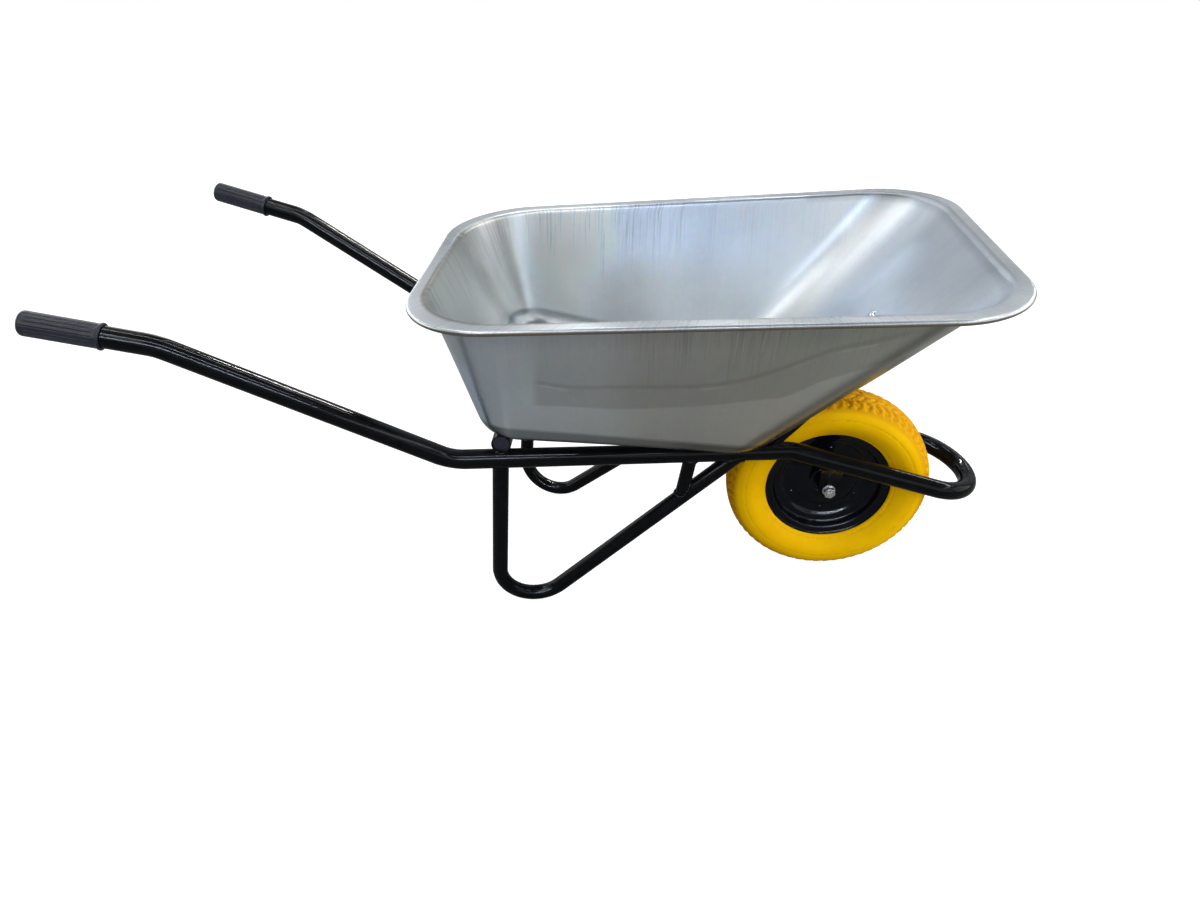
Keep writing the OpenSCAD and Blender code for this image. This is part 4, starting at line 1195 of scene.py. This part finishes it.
thv = np.arange(NT) * TAU / NT
m = len(full)
R0, Y0 = full[:, 0][:, None], full[:, 1][:, None]
outer = np.zeros((m, 1))
outer[: len(half_line)] = 1
outer[-(len(half_line) - 1):] = 1
cutv = tread_cut(Y0 * np.ones((1, NT)), thv[None, :] * np.ones((m, 1))) * outer * (R0 > 174)
depth = 3.0 * smooth((R0 - 173) / 9)
worn = 0.25 * (1 + np.sin(thv * 3 + 1))[None, :] * (R0 > 180)
ringcut = np.exp(-((R0 - 157.5) / 0.9) ** 2) * outer
ringcut2 = np.exp(-((R0 - 123.5) / 1.1) ** 2) * outer
nr = np.stack([np.gradient(full[:, 0]), np.gradient(full[:, 1])], 1)
nv = units(np.stack([nr[:, 1], -nr[:, 0]], 1))
flip = np.sign(nv[5, 0])
nv = nv * flip
push = -(cutv * depth + ringcut * 0.9 + ringcut2 * 0.7) - worn * 0.12 * outer
pill = 0.25 * (wave(91, thv * 190, 23)[None, :] * wave(92, Y0 * 1.0 + 0 * thv[None, :], 9)) * smooth((R0 - 176) / 8) * (1 - cutv)
push = push - np.abs(pill)
Rr = R0 + nv[:, 0][:, None] * push
Yy = Y0 + nv[:, 1][:, None] * push
Rr = np.where(outer > 0, Rr, R0)
Yy = np.where(outer > 0, Yy, Y0)
X = AX + Rr * np.sin(thv)[None, :]
Z = AZ + Rr * np.cos(thv)[None, :]
V = np.stack([X, Yy, Z], -1)
tread_v = smooth((R0 - 168) / 10) * outer * np.ones((1, NT))
# soil caught at one place of the tread, where the tyre has stood
off = (thv - 0.10 + math.pi) % TAU - math.pi
patch = np.exp(-(off[None, :] / 0.16) ** 2) * smooth((R0 - 181) / 6) * outer
# a broad darker brown patch on the rear side of the tread, a little below the axle, and a faint one all round the crown
off = (thv + 1.75 + math.pi) % TAU - math.pi
patch = patch + 0.45 * np.exp(-(off[None, :] / 0.55) ** 2) * smooth((R0 - 176) / 8) * outer
patch = patch + 0.35 * smooth((R0 - 184) / 5) * outer
b = Build()
b.add(V.reshape(-1, 3), [quads(m, NT, True, True)], cut=(cutv + 0.8 * ringcut + 0.5 * ringcut2).reshape(-1), tread=tread_v.reshape(-1), patch=np.clip(patch, 0, 1).reshape(-1))
emit("tyre_treaded", b, FOAM, "wheel", replaces=["tyre"], sharp=75)

# ---- CAD nodes that show as they are, with their finish ----------------------------------------------------------
for name, m_ in (("crossbar_plugs", PLASTIC), ("rim_rivets", RIM_ENAMEL), ("hub_tube", RIM_ENAMEL), ("axle_collars", ZINC), ("axle_spacer", STEEL), ("bearing_inner_races", STEEL),
                 ("bearing_outer_races", STEEL), ("bearing_balls", STEEL), ("bearing_seals", SEAL)):
    me = NODES[name].data
    me.materials.clear()
    me.materials.append(m_)
    for p in me.polygons:
        p.use_smooth = True
    me.set_sharp_from_angle(angle=math.radians(30))

# ---- floor, light and camera --------------------------------------------------------------------------------------
scene = bpy.context.scene
scene.view_settings.view_transform = "Standard"
me = bpy.data.meshes.new("floor")
me.from_pydata([(-40, -40, 0), (40, -40, 0), (40, 40, 0), (-40, 40, 0)], [], [(0, 1, 2, 3)])
floor = bpy.data.objects.new("floor", me)
scene.collection.objects.link(floor)
fm_ = bpy.data.materials.new("pale floor")
fm_.use_nodes = True
nt = fm_.node_tree
nt.nodes.clear()
out = nt.nodes.new("ShaderNodeOutputMaterial")
path = nt.nodes.new("ShaderNodeLightPath")
mixs = nt.nodes.new("ShaderNodeMixShader")
seen = nt.nodes.new("ShaderNodeAddShader")
em = nt.nodes.new("ShaderNodeEmission")
em.inputs["Strength"].default_value = 0.90
df = nt.nodes.new("ShaderNodeBsdfDiffuse")
df.inputs["Color"].default_value = (0.35, 0.35, 0.35, 1)
dk_ = nt.nodes.new("ShaderNodeBsdfDiffuse")
dk_.inputs["Color"].default_value = (0.30, 0.30, 0.29, 1)
nt.links.new(em.outputs[0], seen.inputs[0])
nt.links.new(df.outputs[0], seen.inputs[1])
nt.links.new(path.outputs["Is Camera Ray"], mixs.inputs[0])
nt.links.new(dk_.outputs[0], mixs.inputs[1])
nt.links.new(seen.outputs[0], mixs.inputs[2])
nt.links.new(mixs.outputs[0], out.inputs[0])
me.materials.append(fm_)
floor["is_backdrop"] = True

world = bpy.data.worlds.new("studio")
scene.world = world
world.use_nodes = True
nt = world.node_tree
nt.nodes.clear()
wo = nt.nodes.new("ShaderNodeOutputWorld")
path = nt.nodes.new("ShaderNodeLightPath")
mixw = nt.nodes.new("ShaderNodeMixShader")
b1 = nt.nodes.new("ShaderNodeBackground")
b1.inputs["Color"].default_value = (1, 1, 1, 1)
b1.inputs["Strength"].default_value = 1.0
b2 = nt.nodes.new("ShaderNodeBackground")
tc = nt.nodes.new("ShaderNodeTexCoord")
sep = nt.nodes.new("ShaderNodeSeparateXYZ")
rmp = nt.nodes.new("ShaderNodeValToRGB")
nt.links.new(tc.outputs["Generated"], sep.inputs[0])
nt.links.new(sep.outputs["Z"], rmp.inputs[0])
cr = rmp.color_ramp
cr.elements[0].position, cr.elements[0].color = 0.0, (0.98, 1.0, 1.03, 1)
cr.elements[1].position, cr.elements[1].color = 1.0, (0.95, 1.0, 1.06, 1)
e = cr.elements.new(0.35)
e.color = (0.96, 1.0, 1.05, 1)
nt.links.new(rmp.outputs[0], b2.inputs["Color"])
b2.inputs["Strength"].default_value = 0.29
nt.links.new(path.outputs["Is Camera Ray"], mixw.inputs[0])
nt.links.new(b2.outputs[0], mixw.inputs[1])
nt.links.new(b1.outputs[0], mixw.inputs[2])
nt.links.new(mixw.outputs[0], wo.inputs[0])


def panel(name, loc, look, size, watts, color=(1, 1, 1)):
    l = bpy.data.lights.new(name, "AREA")
    l.shape = "RECTANGLE"
    l.size, l.size_y = size
    l.energy = watts
    l.color = color
    o = bpy.data.objects.new(name, l)
    scene.collection.objects.link(o)
    o.location = loc
    o.rotation_euler = (Vector(look) - Vector(loc)).to_track_quat("-Z", "Y").to_euler()
    return o


# low softboxes stand in for the walls, at 12 degrees all round
def low_box(azim, level, color=(1, 1, 1)):
    e, a = math.radians(12), math.radians(azim)
    p = (3.5 * math.cos(e) * math.cos(a), 3.5 * math.cos(e) * math.sin(a), 0.4 + 3.5 * math.sin(e))
    return panel(f"low box {azim}", p, (0, 0, 0.4), (2.4, 1.4), level * math.pi * 2.4 * 1.4, color)


for azim, level in ((0, 1.66), (45, 0.3), (90, 0.3), (135, 2.1), (180, 1.9), (315, 1.25)):
    low_box(azim, level)
low_box(270, 0.35, (0.75, 0.88, 1.0))


def tube_light(name, a, c, width, level, color=(1, 1, 1)):
    """A ceiling tube from a to c, turned towards the barrow."""
    a, c = Vector(a), Vector(c)
    mid_, d = (a + c) / 2, (c - a).normalized()
    length = (c - a).length
    n = Vector(((AX - 300) / 1000, 0, 0.4)) - mid_
    n = (n - d * n.dot(d)).normalized()
    o = panel(name, mid_, (0, 0, 0.4), (width, length), level * math.pi * width * length, color)
    o.matrix_world = Matrix.Translation(mid_) @ Matrix((d.cross(-n).normalized(), d, -n)).transposed().to_4x4()
    return o


# rows of ceiling tubes along the hall, nearly square to the barrow: row, from, to, radiance
def row_x(k, y):
    return AX / 1000 - 1.668 + 0.978 * k - 0.12 * y


COOL, PLAIN = (0.80, 0.90, 1.0), (1.0, 0.995, 0.98)
for k, ya, yb, level, tone in ((-2, -6.5, -2.6, 16, PLAIN), (-2, 0.9, 4.5, 12, PLAIN), (-1, -6.5, -2.6, 18, PLAIN), (-1, -2.6, 0.9, 3, PLAIN),
                               (-1, 0.9, 4.5, 4, PLAIN), (0, -2.9, 0.9, 12, PLAIN), (0, 0.9, 4.5, 3, PLAIN), (1, -6.5, -2.6, 20, COOL),
                               (1, 0.9, 4.5, 10, PLAIN), (2, -6.5, -2.6, 5, COOL), (2, 0.9, 4.5, 8, PLAIN), (3, -6.5, -2.6, 16, PLAIN),
                               (3, -2.6, 0.9, 13, PLAIN), (3, 0.9, 4.5, 6, PLAIN), (5, -2.6, 0.9, 16, PLAIN), (5, 0.9, 4.5, 40, PLAIN)):
    tube_light(f"tube {k} {ya}", (row_x(k, ya), ya, 2.7), (row_x(k, yb), yb, 2.7), 0.10, level, tone)

# slim tubes that light the black enamel alone and draw its highlight lines, and a low box for the tyre alone
def only(label, *mats):
    c = bpy.data.collections.new(label)
    for ob in bpy.data.objects:
        if ob.type == "MESH" and ob.data.materials and ob.data.materials[0] in mats:
            c.objects.link(ob)
    return c


black, bowl, yellow = only("black enamel", ENAMEL, RIM_ENAMEL), only("rim enamel", RIM_ENAMEL), only("tyre foam", FOAM)
ax_ = AX / 1000
for name, a, c, width, level, tone in (("line behind", (ax_ - 0.5, 2.0, 2.6), (ax_ + 0.7, 2.0, 2.6), 0.06, 640, (1.0, 0.99, 0.97)),
                                       ("line above", (ax_ - 3.0, 0.5, 2.8), (ax_ + 0.7, 0.5, 2.8), 0.04, 110, (1.0, 0.99, 0.97)),
                                       ("line over", (ax_ - 3.0, -1.5, 2.8), (ax_ + 0.7, -1.5, 2.8), 0.04, 170, (0.80, 0.88, 1.0)),
                                       ("line in front", (ax_ - 2.4, -3.9, 2.7), (ax_ + 1.2, -3.9, 2.7), 0.07, 260, (0.72, 0.82, 1.0))):
    tube_light(name, a, c, width, level, tone).light_linking.receiver_collection = black
    tube_light(name + " on the rim", a, c, width, level * 2.5, tone).light_linking.receiver_collection = bowl
low_box(345, 3.9, (1.0, 0.97, 0.9)).light_linking.receiver_collection = yellow
others = bpy.data.collections.new("all but the tyre")
for ob in bpy.data.objects:
    if ob.type == "MESH" and ob.name not in yellow.objects:
        others.objects.link(ob)
bpy.data.objects["low box 180"].light_linking.receiver_collection = others

cam = bpy.data.cameras.new("camera")
cam.lens, cam.sensor_width, cam.sensor_fit = 24.92, 36.0, "HORIZONTAL"
cam.clip_start, cam.clip_end = 0.05, 200
co = bpy.data.objects.new("camera", cam)
scene.collection.objects.link(co)
yaw, pitch, roll = -0.054, 0.588, 0.011
f_ = arr(math.sin(yaw) * math.cos(pitch), math.cos(yaw) * math.cos(pitch), -math.sin(pitch))
r0 = arr(math.cos(yaw), -math.sin(yaw), 0)
u0 = np.cross(r0, f_)
rr = r0 * math.cos(roll) + u0 * math.sin(roll)
uu = -r0 * math.sin(roll) + u0 * math.cos(roll)
M4 = Matrix.Identity(4)
for i in range(3):
    M4[i][0], M4[i][1], M4[i][2] = rr[i], uu[i], -f_[i]
for i, v in enumerate(((AX - 364.4) / 1000, -1.3307, 1.1209)):
    M4[i][3] = v
co.matrix_world = M4
scene.camera = co

lo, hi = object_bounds()
